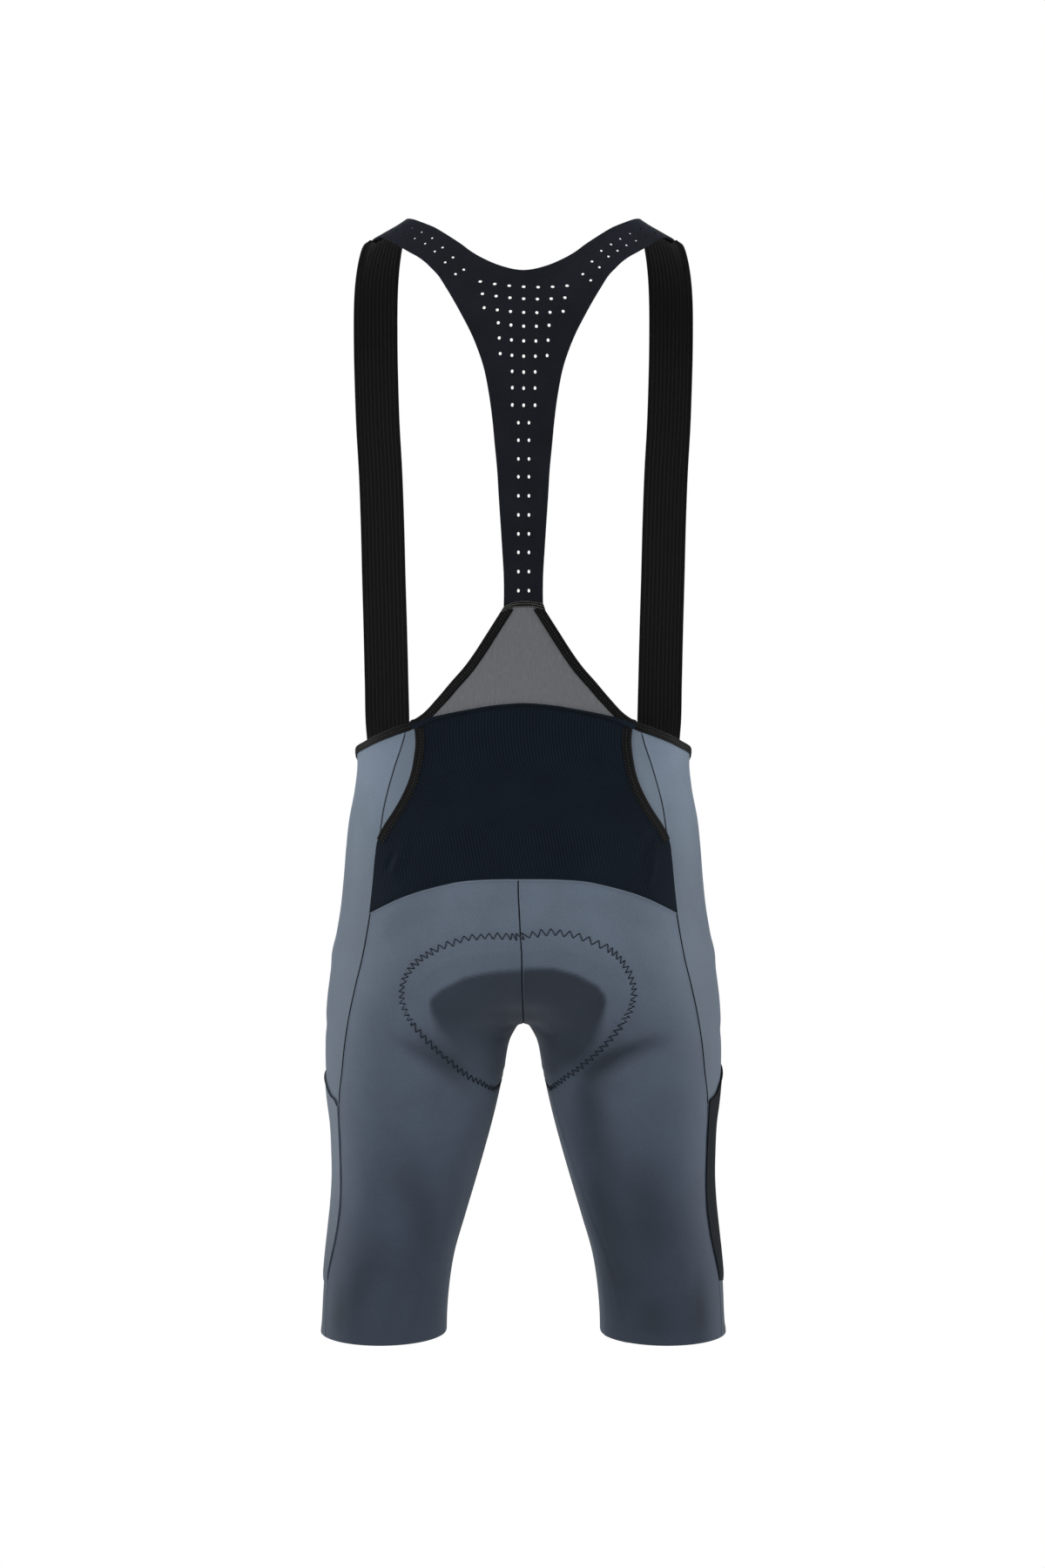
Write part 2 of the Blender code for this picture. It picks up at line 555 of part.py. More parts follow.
def make_edge_binding(mesh_grid, side_grid, front_grid):
    """One folded binding from the yoke's tail round the left side, the front and the right side."""
    stretches = [
        (grid_line, *edge_frame(grid_line, beside))
        for grid_line, beside in (
            (mesh_grid[:, -1], mesh_grid[:, -2]),
            (side_grid[0], side_grid[1]),
            (front_grid[0], front_grid[1]),
        )
    ]
    line, out, into = stretches[0]
    for next_line, next_out, next_into in stretches[1:]:
        line = np.concatenate([line, next_line[1:]])
        out = np.concatenate([out[:-1], unit(out[-1:] + next_out[:1]), next_out[1:]])
        into = np.concatenate([into[:-1], unit(into[-1:] + next_into[:1]), next_into[1:]])
    out[-1, 0] = into[-1, 0] = 0
    line, out, into = (np.concatenate([part, mirrored(part[-2::-1])]) for part in (line, unit(out), unit(into)))
    add_swept("edge_binding", line, out, into, fold_profile(EDGE_BINDING_WIDTH, CLOTH), "black")


def pocket_edge():
    """Left boundary of the pocket: its bound opening, then the side seam below it."""
    heights = np.linspace(POCKET_OPENING[-1][0], POCKET_OPENING[0][0], 9)
    opening = face_point(opening_x(heights), heights)
    below = np.linspace(POCKET_OPENING[0][0], SEAT_CORNER, 5)[1:]
    return np.concatenate([opening, face_point(back_seam_x(below) - 0.4, below)]), len(opening)


def make_back_pocket():
    edge, opening_rows = pocket_edge()
    grid = across_back(edge, pocket_top_height, lambda x: seat_seam_height(x) + 0.5, BASE_COLUMNS)
    normals = normals_of(grid)
    u = np.abs(np.linspace(-1, 1, BASE_COLUMNS + 1))[None]
    rows = len(edge) - 1
    sewn = np.clip((np.arange(rows + 1) - opening_rows + 1) / (rows - opening_rows + 1), 0, 1)[:, None]
    lift = POCKET_LIFT + (OPENING_LIFT - POCKET_LIFT) * u**2 * (1 - sewn)
    inner = grid + normals * lift[..., None]
    outer = inner + normals * POCKET_CLOTH
    add_wall("back_pocket", outer, inner, "navy pocket")

    line = outer[:opening_rows, -1]
    out, into = edge_frame(line, outer[:opening_rows, -2])
    profile = fold_profile(POCKET_BINDING_WIDTH, POCKET_CLOTH)
    add_swept("pocket_binding_left", line, out, into, profile, "black")
    add_swept("pocket_binding_right", mirrored(line), mirrored(out), mirrored(into), profile, "black")


def make_leg_pockets():
    mouth, foot = (smooth(LEG_POCKET, column) for column in (1, 2))
    shares = np.linspace(0, 1, SIDE_COLUMNS + 1)
    rows = 8
    grid = np.zeros((rows + 1, SIDE_COLUMNS + 1, 3))
    for row in range(rows + 1):
        for column, share in enumerate(shares):
            height = -800.0
            for _ in range(12):
                back = angle_of(face_point(back_seam_x(height), height, 1)) - 0.6
                front = angle_of(face_point(front_seam_x(height), height, -1)) + 0.6
                angle = back + (front - back) * share
                height = mouth(angle) + (foot(angle) - mouth(angle)) * row / rows
            grid[row, column] = ring_point(angle, height)
    normals = normals_of(grid)
    inner = grid + normals * LEG_POCKET_LIFT
    outer = inner + normals * POCKET_CLOTH
    add_wall("leg_pocket_left", outer, inner, "side blue")
    add_wall("leg_pocket_right", mirrored(outer), mirrored(inner), "black pocket")


def make_yoke():
    table = np.array(YOKE)
    u = np.linspace(0, 1, YOKE_COLUMNS + 1)[None]
    x = table[:, :1] + (table[:, 2:3] - table[:, :1]) * u
    drop = table[:, 1:2] + (table[:, 3:] - table[:, 1:2]) * u
    half = shoulder_point(x, drop)
    along, across = np.gradient(half, axis=0), np.gradient(half, axis=1)
    normals = unit(np.cross(across, along))
    normals *= np.sign((normals * (half - np.array([0, 0, 2 * UPRIGHT_AT]))).sum(-1, keepdims=True))
    normals[:13, 0, 0] = 0
    normals = unit(normals)
    half[0, :, 2] = np.interp(half[0, :, 0], (0, half[0, -1, 0]), (TAIL_END + 3.3, TAIL_END - 0.7))
    outer, inner = half, half - normals * CLOTH
    middle_rows = int((table[:, 0] == 0).sum())
    vertices, faces = [], []
    numbers = {}

    def corner(face, side, row, column):
        on_middle = column == 0 and row < middle_rows
        key = (face, 1 if on_middle else side, row, column)
        if key not in numbers:
            numbers[key] = len(vertices)
            point = (outer, inner)[face][row, column]
            vertices.append(point if side > 0 or on_middle else point * (-1, 1, 1))
        return numbers[key]

    last_row, last_column = len(table) - 1, YOKE_COLUMNS
    for side in (1, -1):
        for row in range(last_row):
            for column in range(last_column):
                cell = ((row, column), (row, column + 1), (row + 1, column + 1), (row + 1, column))
                faces.append([corner(0, side, *at) for at in cell])
                faces.append([corner(1, side, *at) for at in reversed(cell)])
            for column in (0, last_column):
                if column == 0 and row < middle_rows - 1:
                    continue
                ends = ((row, column), (row + 1, column))
                faces.append([corner(0, side, *at) for at in ends] + [corner(1, side, *at) for at in ends[::-1]])
        for row in (0, last_row):
            for column in range(last_column):
                ends = ((row, column), (row, column + 1))
                faces.append([corner(0, side, *at) for at in ends] + [corner(1, side, *at) for at in ends[::-1]])
    add_solid("back_yoke", vertices, faces, "navy yoke")


def strap_rows():
    """Rows of a strap's outer face from the shoulder down, as (points, outward normals)."""
    pitch = (STRAP_WIDTH - 2 * STRAP_SELVEDGE) / (2 * STRAP_RIBS)
    across = np.concatenate([
        [-STRAP_WIDTH / 2],
        -STRAP_WIDTH / 2 + STRAP_SELVEDGE + pitch * np.arange(2 * STRAP_RIBS + 1),
        [STRAP_WIDTH / 2],
    ])
    table = np.array(STRAP, float)
    shoulder, foot = [], []
    for drop, x in STRAP_SHOULDER:
        row_x = x + across * math.cos(math.radians(STRAP_SHOULDER_TILT))
        shoulder.append(shoulder_point(row_x, np.full(len(across), float(drop))))
    for height in STRAP_FOOT:
        row_x = STRAP_FOOT_X + across * math.cos(math.radians(STRAP_FOOT_TURN))
        on_form = face_point(row_x, np.full(len(across), float(height)), -1)
        foot.append(on_form - normals_of(on_form) * STRAP_BELOW_BINDING)
    centres = table[:, :3]
    ends = np.array([shoulder[-1].mean(axis=0), foot[0].mean(axis=0)])
    tangent = unit(np.gradient(np.concatenate([ends[:1], centres, ends[1:]]), axis=0)[1:-1])
    tilt, turn = np.radians(table[:, 3]), np.radians(table[:, 4])
    width = np.stack([np.cos(tilt) * np.cos(turn), np.cos(tilt) * np.sin(turn), -np.sin(tilt)], -1)
    width = unit(width - tangent * (width * tangent).sum(-1, keepdims=True))
    free = centres[:, None] + width[:, None] * across[None, :, None]
    points = np.concatenate([np.array(shoulder), free, np.array(foot)])
    normals = unit(np.cross(np.gradient(points, axis=1), np.gradient(points, axis=0)))
    normals *= np.sign(normals[0, 0, 2])
    covered = len(shoulder)
    points[:covered] -= normals[:covered] * STRAP_UNDER_YOKE
    return points, normals


def make_straps():
    points, normals = strap_rows()
    relief = np.zeros(points.shape[1])
    relief[1:-1:2] = STRAP_RIB_HEIGHT
    relief[[0, -1]] = STRAP_RIB_HEIGHT / 2
    outer = points - normals * relief[None, :, None]
    inner = points - normals * (STRAP_THICKNESS - relief)[None, :, None]
    add_wall("strap_left", outer, inner, "black")
    add_wall("strap_right", mirrored(outer), mirrored(inner), "black")


def pad_shares(columns):
    """Shares of the half width, closer together at the fold over the crotch."""
    return np.linspace(0, 1, columns + 1) ** 1.4


def pad_grid(rows, columns):
    """Points of the form under the pad: rows along the centre line, columns from the middle outward."""
    back = centre_line(CROTCH + (PAD_TOP - CROTCH) * np.linspace(1, 0, 300) ** 2, 1)
    front = centre_line(CROTCH + (FRONT_LOW - CROTCH) * np.linspace(0, 1, 600) ** 2, -1)
    line = np.concatenate([back, front[1:]])
    length = np.concatenate([[0], np.cumsum(np.linalg.norm(np.diff(line, axis=0), axis=1))])
    share = np.linspace(0, 1, rows + 1)
    distance = np.interp(share, np.linspace(0, 1, len(PAD)), [row[0] for row in PAD])
    centre = np.stack([np.interp(distance, length, line[:, k]) for k in range(3)], -1)
    centre[:, 1] = np.sign(centre[:, 1]) * np.abs(centre[:, 1])
    width, cushion = smooth(PAD, 1)(distance), smooth(PAD, 2)(distance)
    ahead = np.stack([np.interp(distance + 2, length, line[:, k]) for k in range(3)], -1)
    behind = np.stack([np.interp(distance - 2, length, line[:, k]) for k in range(3)], -1)
    along = unit(ahead - behind)
    outward = np.cross(np.array([1.0, 0.0, 0.0]), along)
    outward *= np.sign((outward * normals_of(centre + (1e-3, 0, 0))).sum(-1, keepdims=True))
    grid = np.zeros((rows + 1, columns + 1, 3))
    grid[:, 0] = point = centre
    substeps = 12
    shares = pad_shares(columns)
    for column in range(1, columns + 1):
        step = (width * (shares[column] - shares[column - 1]) / substeps)[:, None]
        for _ in range(substeps):
            normal = normals_of(point + np.where(np.abs(point) < 1e-9, 1e-4, 0) * (1, 0, 0))
            side, up = normal[:, 0], (normal * outward).sum(-1)
            size = np.hypot(side, up)
            forward = (np.array([1.0, 0, 0]) * (up / size)[:, None]) - outward * (side / size)[:, None]
            point = point + forward * step
            for _ in range(3):
                value = outside(*np.moveaxis(point, -1, 0))
                ahead_value = outside(*np.moveaxis(point + outward * 0.05, -1, 0))
                sideways = outside(*np.moveaxis(point + np.array([0.05, 0, 0]), -1, 0))
                slope_out, slope_side = (ahead_value - value) / 0.05, (sideways - value) / 0.05
                size2 = slope_out**2 + slope_side**2
                point = point - (value / size2)[:, None] * (
                    outward * slope_out[:, None] + np.array([1.0, 0, 0]) * slope_side[:, None]
                )
        grid[:, column] = point
    return grid, cushion


def make_pad():
    rows = len(PAD) - 1
    half, cushion = pad_grid(rows, PAD_COLUMNS)
    grid = np.concatenate([mirrored(half[:, :0:-1]), half], axis=1)
    normals = normals_of(grid)
    normals[:, PAD_COLUMNS, 0] = 0
    normals = unit(normals)
    shares = pad_shares(PAD_COLUMNS)
    u = np.concatenate([shares[:0:-1], shares])[None]
    thickness = PAD_EDGE + PAD_CUSHION * cushion[:, None] * np.clip(1.25 * (1 - u**2), 0, 1)
    outer = grid - normals * (PAD_CLEARANCE + PAD_LOOSE * (1 - u**2))[..., None]
    add_wall("chamois_pad", outer, outer - normals * thickness[..., None], "pad")


def main():
    for existing in list(bpy.data.objects):
        bpy.data.objects.remove(existing, do_unlink=True)
    garment = bpy.data.objects.new("garment", None)
    bpy.context.scene.collection.objects.link(garment)
    make_back_legs()
    side_grid = make_side_panels()
    front_grid = make_front_legs()
    make_base_back()
    mesh_grid = make_mesh_panel()
    make_back_pocket()
    make_leg_pockets()
    make_edge_binding(mesh_grid, side_grid, front_grid)
    make_yoke()
    make_straps()
    make_pad()


main()
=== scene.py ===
# %% [markdown]
# # A pair of cycling bib shorts
# Bib shorts are tight shorts held up by a perforated yoke at the back and two elastic straps at
# the front. They are shown filled out as they are worn, with nobody in them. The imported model
# holds every cut panel as a thin wall. This lesson lays a finer cloth on each of those walls,
# sews the seams, and gives each cloth the finish it has in the hand.

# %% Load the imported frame
import math

import bmesh
import bpy
import numpy as np
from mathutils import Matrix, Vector
from mathutils.bvhtree import BVHTree


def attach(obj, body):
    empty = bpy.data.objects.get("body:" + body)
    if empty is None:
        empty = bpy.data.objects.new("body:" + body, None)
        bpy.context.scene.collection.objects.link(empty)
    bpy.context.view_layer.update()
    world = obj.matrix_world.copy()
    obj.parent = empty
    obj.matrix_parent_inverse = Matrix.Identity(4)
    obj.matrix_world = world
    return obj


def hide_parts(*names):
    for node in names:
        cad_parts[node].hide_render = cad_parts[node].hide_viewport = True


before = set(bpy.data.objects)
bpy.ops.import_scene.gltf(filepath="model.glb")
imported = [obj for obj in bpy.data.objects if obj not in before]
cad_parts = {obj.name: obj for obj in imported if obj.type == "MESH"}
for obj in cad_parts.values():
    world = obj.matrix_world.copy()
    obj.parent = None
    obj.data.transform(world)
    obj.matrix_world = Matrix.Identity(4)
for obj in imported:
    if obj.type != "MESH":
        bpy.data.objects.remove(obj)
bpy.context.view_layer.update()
MM = 0.001
SIDES = {"left": 1, "right": -1}

# %% [markdown]
# ## The camera, the floor and the lights
# The garment hangs in a white studio. The camera stands level behind it, 2.1 m away, so the far
# side of the top edge just shows over the near one. The light is soft: one wide panel behind the
# camera does most of the work, and weaker ones above, at the sides and in front round off the
# edges. Soft light suits a smooth knit, whose folds are shallow.

# %% Camera, floor and lights
CAMERA_PLACE = (0.76 * MM, 2.1, -0.4917)
LENS_MM, SENSOR_MM = 55.23, 36
FLOOR_SIZE, FLOOR_HEIGHT = 12, -1.3
# name, place, the height it looks at, the panel's width and height, watts
LIGHTS = (
    ("softbox_camera_side", (0.7, 2.4, 0.0), -0.5, (2.0, 1.6), 19),
    ("softbox_above", (0, 0.35, 0.9), -0.6, (1.4, 0.6), 5),
    ("softbox_left", (1.6, 0.9, -0.3), -0.6, (0.6, 1.6), 6.5),
    ("softbox_right", (-1.6, 0.9, 0.0), -0.4, (0.6, 1.6), 11.5),
    ("rim_left", (1.5, -0.5, -0.4), -0.6, (0.6, 1.8), 9),
    ("rim_right", (-1.5, -0.5, -0.4), -0.6, (0.6, 1.8), 8),
    ("softbox_front", (0, -2.2, 0.4), -0.5, (1.8, 1.6), 12))
WHITE = (1, 1, 1, 1)
scene = bpy.context.scene


def linear(colour):
    """An sRGB hex value as the linear light that a shader's socket expects."""
    shares = [int(colour[i:i + 2], 16) / 255 for i in (1, 3, 5)]
    return (*[s / 12.92 if s <= 0.04045 else ((s + 0.055) / 1.055) ** 2.4 for s in shares], 1)


def add(tree, kind, *numbered, **named):
    """Adds a node. Capitalised names are sockets: a value, a hex or a link. The others are settings."""
    node = tree.nodes.new("ShaderNode" + kind)
    sockets = dict(enumerate(numbered))
    for key, value in named.items():
        if key[0].isupper():
            sockets[key.replace("_", " ")] = value
        else:
            setattr(node, key, value)
    for key, value in sockets.items():
        if isinstance(value, bpy.types.Node):
            value = next(output for output in value.outputs if output.enabled)
        if isinstance(value, bpy.types.NodeSocket):
            tree.links.new(value, node.inputs[key])
        else:
            node.inputs[key].default_value = linear(value) if isinstance(value, str) else value
    return node


def emptied(block):
    """The node tree of a new material or world, without its first nodes."""
    block.use_nodes = True
    block.node_tree.nodes.clear()
    return block.node_tree


def seen_apart(tree, lit, seen):
    """One shader that lights the object, and another that the camera sees."""
    return add(tree, "MixShader", add(tree, "LightPath"), lit, seen)


def chosen(*pieces):
    """Selects these objects alone, the first of them active."""
    bpy.ops.object.select_all(action="DESELECT")
    for piece in pieces:
        piece.select_set(True)
        bpy.context.view_layer.objects.active = pieces[0]


camera = bpy.data.objects.new("studio_camera", bpy.data.cameras.new("studio_camera"))
camera.location, camera.rotation_euler = CAMERA_PLACE, (math.radians(90), 0, math.radians(180))
camera.data.lens, camera.data.sensor_width = LENS_MM, SENSOR_MM
scene.collection.objects.link(camera)
scene.camera = camera
scene.view_settings.view_transform = "Standard"
for name, place, aim, size, watts in LIGHTS:
    light = bpy.data.lights.new(name, "AREA")
    light.shape, light.energy = "RECTANGLE", watts
    light.size, light.size_y = size
    lamp = bpy.data.objects.new(name, light)
    lamp.location = place
    lamp.rotation_euler = (Vector((0, 0, aim)) - Vector(place)).to_track_quat("-Z", "Y").to_euler()
    scene.collection.objects.link(lamp)

scene.world = bpy.data.worlds.new("white_room")
tree = emptied(scene.world)
lit = add(tree, "Background", Color=(0.93, 0.96, 1, 1), Strength=0.05)
add(tree, "OutputWorld", Surface=seen_apart(tree, lit, add(tree, "Background", Color=WHITE, Strength=1.0)))

chosen()
bpy.ops.mesh.primitive_plane_add(size=FLOOR_SIZE, location=(0, 0, FLOOR_HEIGHT))
floor = bpy.context.object
floor.name = "studio_floor"
# Matt white floor paint.
paint = bpy.data.materials.new("matt_white_floor_paint")
tree = emptied(paint)
bright = add(tree, "Emission", Color=WHITE, Strength=1.0)
add(tree, "OutputMaterial", Surface=seen_apart(tree, add(tree, "BsdfDiffuse", Color="#c4c4c4"), bright))
floor.data.materials.append(paint)
print("camera at", CAMERA_PLACE, "lens", LENS_MM, "mm")

# %% [markdown]
# ## Reading a cut panel back from the frame
# A packed panel is a closed wall of loose triangles. Its outer face is a sheet of rows and
# columns, so a merged copy is split at its sharp rim, the outer face is kept, and the rows are
# walked from corner to corner. The finer cloth then passes through exactly the same points, so
# each panel still meets its neighbours at the seams.


# %% Outer face of a packed wall
# points closer than this are one, and an edge sharper than this is the wall's rim
SAME_POINT = 0.02 * MM
RIM_ANGLE = math.radians(45)


def outer_sheet(node, towards):
    """A merged copy of the one face of a packed wall that looks towards a side."""
    sheet = bmesh.new()
    sheet.from_mesh(bpy.data.objects[node].data)
    bmesh.ops.remove_doubles(sheet, verts=sheet.verts, dist=SAME_POINT)
    bmesh.ops.split_edges(sheet, edges=[e for e in sheet.edges if e.calc_face_angle(0) > RIM_ANGLE])
    unseen, islands = set(sheet.faces), []
    while unseen:
        waiting, island = [unseen.pop()], []
        while waiting:
            island.append(waiting.pop())
            beside = {f for edge in island[-1].edges for f in edge.link_faces} & unseen
            unseen -= beside
            waiting += beside
        islands.append(island)
    towards = Vector(towards)
    kept = set(max(islands, key=lambda island: sum(f.normal.dot(towards) * f.calc_area() for f in island)))
    bmesh.ops.delete(sheet, geom=[f for f in sheet.faces if f not in kept], context="FACES")
    return sheet


def rim_path(start, end, count):
    """The rim's vertices from start to end, on the side where they number count."""
    for edge in [e for e in start.link_edges if e.is_boundary]:
        path = [start, edge.other_vert(start)]
        while len(path) < count:
            ahead = [e.other_vert(path[-1]) for e in path[-1].link_edges if e.is_boundary]
            path.append(next(v for v in ahead if v != path[-2]))
        if path[-1] == end:
            return path
    raise ValueError("no such side")


def beyond(first, second, known):
    """The corners of the triangles on an edge, other than one that is known."""
    edge = next(e for e in first.link_edges if e.other_vert(first) == second)
    return {v for face in edge.link_faces for v in face.verts} - {first, second, known}


def in_rows(sheet, corners, rows, columns):
    """The sheet's points in rows. corners, in mm: the first row's two ends, then the first column's end."""
    rim = [v for v in sheet.verts if v.is_boundary]
    first, along, down = (min(rim, key=lambda v: (v.co - Vector(c) * MM).length) for c in corners)
    column = rim_path(first, down, rows)
    found = [rim_path(first, along, columns)]
    for below in column[1:]:
        above, row = found[-1], [below]
        used = set(found[-2]) if len(found) > 1 else set()
        for c in range(columns - 1):
            across = beyond(above[c], above[c + 1], None) - used
            if row[-1] in across:
                across = beyond(row[-1], above[c + 1], above[c])
            row.append(next(iter(across - set(above) - set(row))))
        found.append(row)
    sheet_points = np.array([[v.co for v in row] for row in found])
    sheet.free()
    return sheet_points


# the node, its outer side, three corners in mm, and its rows and columns
PANELS = {
    "back_leg": ("back_leg_left", (0, 1, 0),
                 ((128.3, 83.6, -599.5), (0, 112.7, -569.8), (171, 26.7, -968)), 20, 14),
    "side_panel": ("side_panel_left", (1, 0, 0),
                   ((97.6, 74.6, -441.3), (140.5, -48.4, -473.7), (171, 26.7, -968)), 26, 9),
    "front_leg": ("front_leg_left", (0, -1, 0),
                  ((140.5, -48.4, -473.7), (0, -109.7, -528), (149, -53.8, -968)), 26, 11),
    "base_back": ("base_back_panel", (0, 1, 0),
                  ((-97, 74, -441), (97, 74, -441), (-128.3, 83.6, -599.5)), 7, 15),
    "mesh": ("bib_mesh_panel", (0, 1, 0), ((-17, 95, -344), (17, 95, -344), (-97, 74, -441)), 8, 15),
    "pocket": ("back_pocket", (0, 1, 0), ((-92, 78, -447), (92, 78, -447), (-128.8, 85, -599)), 13, 15),
    "leg_pocket": ("leg_pocket_left", (1, 0, 0), ((165, 48, -766), (137, -67, -726), (174, 28, -931)), 9, 9),
    "pad": ("chamois_pad", (0, 0.3, -1), ((-42, 118, -617), (42, 118, -617), (-34, -96, -642)), 15, 13),
    "strap": ("strap_left", (0, -1, 0.3),
              ((101.3, 6.7, -4.3), (136.3, 5.2, -23.5), (104.2, -91.8, -513.4)), 22, 21),
}
cut = {name: in_rows(outer_sheet(node, towards), *rest) for name, (node, towards, *rest) in PANELS.items()}
print("rows and columns:", {name: points.shape[:2] for name, points in cut.items()})

# %% [markdown]
# Three of the panels hang a little freer than their walls. The pocket's open sides stand a few
# millimetres nearer the middle at the top, the sheer triangle's sides run straight up to the
# tail, and the strap leaves the shoulder in one round bend beside the yoke's end.


# %% Ease of the pocket, the mesh and the strap
def by_row(*values):
    """One number for each row of a cloth."""
    return np.array(values)[:, None]


x, z = cut["pocket"][..., 0].copy(), cut["pocket"][..., 2] / MM
toward_edge = np.abs(x) / np.abs(x[:, -1:])
drawn_in = np.interp(z, (-545, -520, -480, -447), (0, 2.4, 3.4, 3.7)) * MM
cut["pocket"][..., 0] -= np.sign(x) * toward_edge ** 3 * drawn_in
cut["pocket"][:2, :, 2] += toward_edge[:2] ** 6 * by_row(1.5, 0.7) * MM
cut["mesh"][1:3, :, 0] *= by_row(1.18, 1.03)
strap, share = cut["strap"], np.linspace(0, 1, 21)
toward_arm, beside_yoke = share ** 3 * MM, np.clip((share - 0.8) / 0.12, 0, 1) * MM
strap[:7, :, 0] += by_row(0, 1.2, 1.6, 2.4, 2.0, 0.5, 0) * toward_arm
strap[:7, :, 2] += by_row(0, 1.0, 2.0, 3.4, 4.6, 1.0, 0) * toward_arm
strap[:6, :, 2] += by_row(4.0, 5.2, 5.6, 4.6, 3.0, 0.8) * beside_yoke
strap[-4:-2, :, 0] += by_row(4.5, 0.8) * toward_arm
for _ in range(2):
    strap[1:9] = (strap[:8] + 2 * strap[1:9] + strap[2:10]) / 4
print("pocket opening starts", round(cut["pocket"][0, -1, 0] / MM), "mm from the middle")

# %% [markdown]
# ## A finer cloth through the same points
# A knitted cloth bends smoothly, so each panel is drawn again with many more points. Between two
# known points the cloth follows a cubic whose slope at each point is the slope of the parabola
# through its neighbours, which is what a spring or a stretched knit settles to.


# %% Finer rows, the outward direction and a length along the cloth
def unit(vectors):
    """The same directions, one long."""
    return vectors / np.maximum(np.linalg.norm(vectors, axis=-1, keepdims=True), 1e-12)


def steps_of(points, axis=0):
    """The distance from each point to the next."""
    return np.linalg.norm(np.diff(points, axis=axis), axis=-1)


def between(points, places):
    """Points on the smooth line or cloth through the given ones, along the first axis, at shares of it."""
    steps = steps_of(points)
    steps = steps.reshape(len(steps), -1).mean(axis=1)
    at = np.concatenate([[0], np.cumsum(steps)])
    shape = (-1,) + (1,) * (points.ndim - 1)
    h = steps.reshape(shape)
    slope = np.diff(points, axis=0) / h
    if len(points) == 2:
        tangent = np.concatenate([slope, slope])
    else:
        inner = (h[:-1] * slope[1:] + h[1:] * slope[:-1]) / (h[:-1] + h[1:])
        tangent = np.concatenate([2 * slope[:1] - inner[:1], inner, 2 * slope[-1:] - inner[-1:]])
    where = np.asarray(places) * at[-1]
    i = np.clip(np.searchsorted(at, where, side="right") - 1, 0, len(steps) - 1)
    t = ((where - at[i]) / steps[i]).reshape(shape)
    h = h[i]
    return ((2 * t**3 - 3 * t**2 + 1) * points[i] + (t**3 - 2 * t**2 + t) * h * tangent[i]
            + (3 * t**2 - 2 * t**3) * points[i + 1] + (t**3 - t**2) * h * tangent[i + 1])


NEAR_EDGE = np.array((0.45, 1.0, 1.7, 2.6)) * MM


def shares(count, length, first=True, last=True):
    """Even shares of a length in metres, with closer ones at NEAR_EDGE from each sewn edge."""
    close = NEAR_EDGE / length
    sewn = [close] * first + [1 - close] * last
    return np.unique(np.concatenate([np.linspace(0, 1, count), *sewn]))


def finer(points, rows, columns):
    """The same cloth with so many rows and columns of points, or with them at these shares of it."""
    rows, columns = (np.linspace(0, 1, n) if isinstance(n, int) else n for n in (rows, columns))
    return np.moveaxis(between(np.moveaxis(between(points, rows), 1, 0), columns), 0, 1)


def facing(points):
    """The directions straight through a cloth at each point, on one side or the other."""
    return np.cross(np.gradient(points, axis=1), np.gradient(points, axis=0))


def outward(points, towards):
    """The cloth's direction out of its face at each point, on the side of towards."""
    normals = unit(facing(points))
    return normals if (normals @ np.array(towards, float)).sum() > 0 else -normals


def mirrored(points):
    """The other side's points."""
    return points * (-1, 1, 1)


def flat_lengths(points):
    """How far along its row and down its column each point lies, in metres."""
    u, v = np.cumsum(steps_of(points, 1), axis=1), np.cumsum(steps_of(points), axis=0)
    return np.pad(u, ((0, 0), (1, 0))), np.pad(v, ((1, 0), (0, 0)))


FINE = {
    "back_leg": (shares(181, 0.42), shares(67, 0.155)),
    "side_panel": (shares(171, 0.52, first=False), shares(35, 0.09)),
    "front_leg": (shares(151, 0.48, first=False), shares(47, 0.15)),
    "base_back": (41, shares(81, 0.25)),
    "mesh": (57, 65),
    "pocket": (shares(97, 0.15), 141),
    "leg_pocket": (shares(65, 0.19), shares(41, 0.13)),
    "pad": (91, 65),
    "strap": (221, 81),
}
# how far each column of a leg pocket's mouth is drawn down, in mm, from the back seam forward
MOUTHS = {"left": (0, -5, -1, 5, 8, 7, 4, 1, 0), "right": (-5, -6, -3, 2, 3, 3, 2, 1, 0)}
# where the legs part, and how much wider the arch is for what lies there
CROTCH_HEIGHT = -699.6
ARCHES = {"back_leg": 1.0, "front_leg": 1.0, "pad": 1.22}


def with_mouth(points, drop):
    """A leg pocket's cloth with its mouth drawn down by so many mm at each of nine columns."""
    length = steps_of(points).sum(axis=0).mean() / MM
    drop = np.interp(np.linspace(0, 8, points.shape[1]), range(9), drop) / length
    rows = np.linspace(0, 1, len(points))
    columns = [between(points[:, [j]], start + (1 - start) * rows) for j, start in enumerate(drop)]
    return np.concatenate(columns, axis=1)


def arched(points, clear):
    """The same cloth with a round arch between the legs, clear times as wide."""
    below = np.clip(CROTCH_HEIGHT - points[..., 2] / MM, 0, 60)
    least = 4.1 * below ** 0.36 * np.clip((48 - below) / 36, 0, 1) ** 0.5 * clear * MM
    x, opened = points[..., 0], points.copy()
    opened[..., 0] = np.where(x < 0, -1, 1) * (x ** 4 + least ** 4) ** 0.25
    return opened


cloth = {name: finer(cut[name], rows, columns) for name, (rows, columns) in FINE.items()}
cloth.update({name: arched(cloth[name], clear) for name, clear in ARCHES.items()})
out = {name: outward(points, PANELS[name][1]) for name, points in cloth.items()}
print("points on the finer cloths:", {name: points.shape[:2] for name, points in cloth.items()})

# %% [markdown]
# ## The body under the cloth
# Stitches, threads and creases lie on the outside of the garment, so one search tree holds the
# whole outer surface. Any point can then be asked for its nearest place on the cloth and for
# the direction out of it.


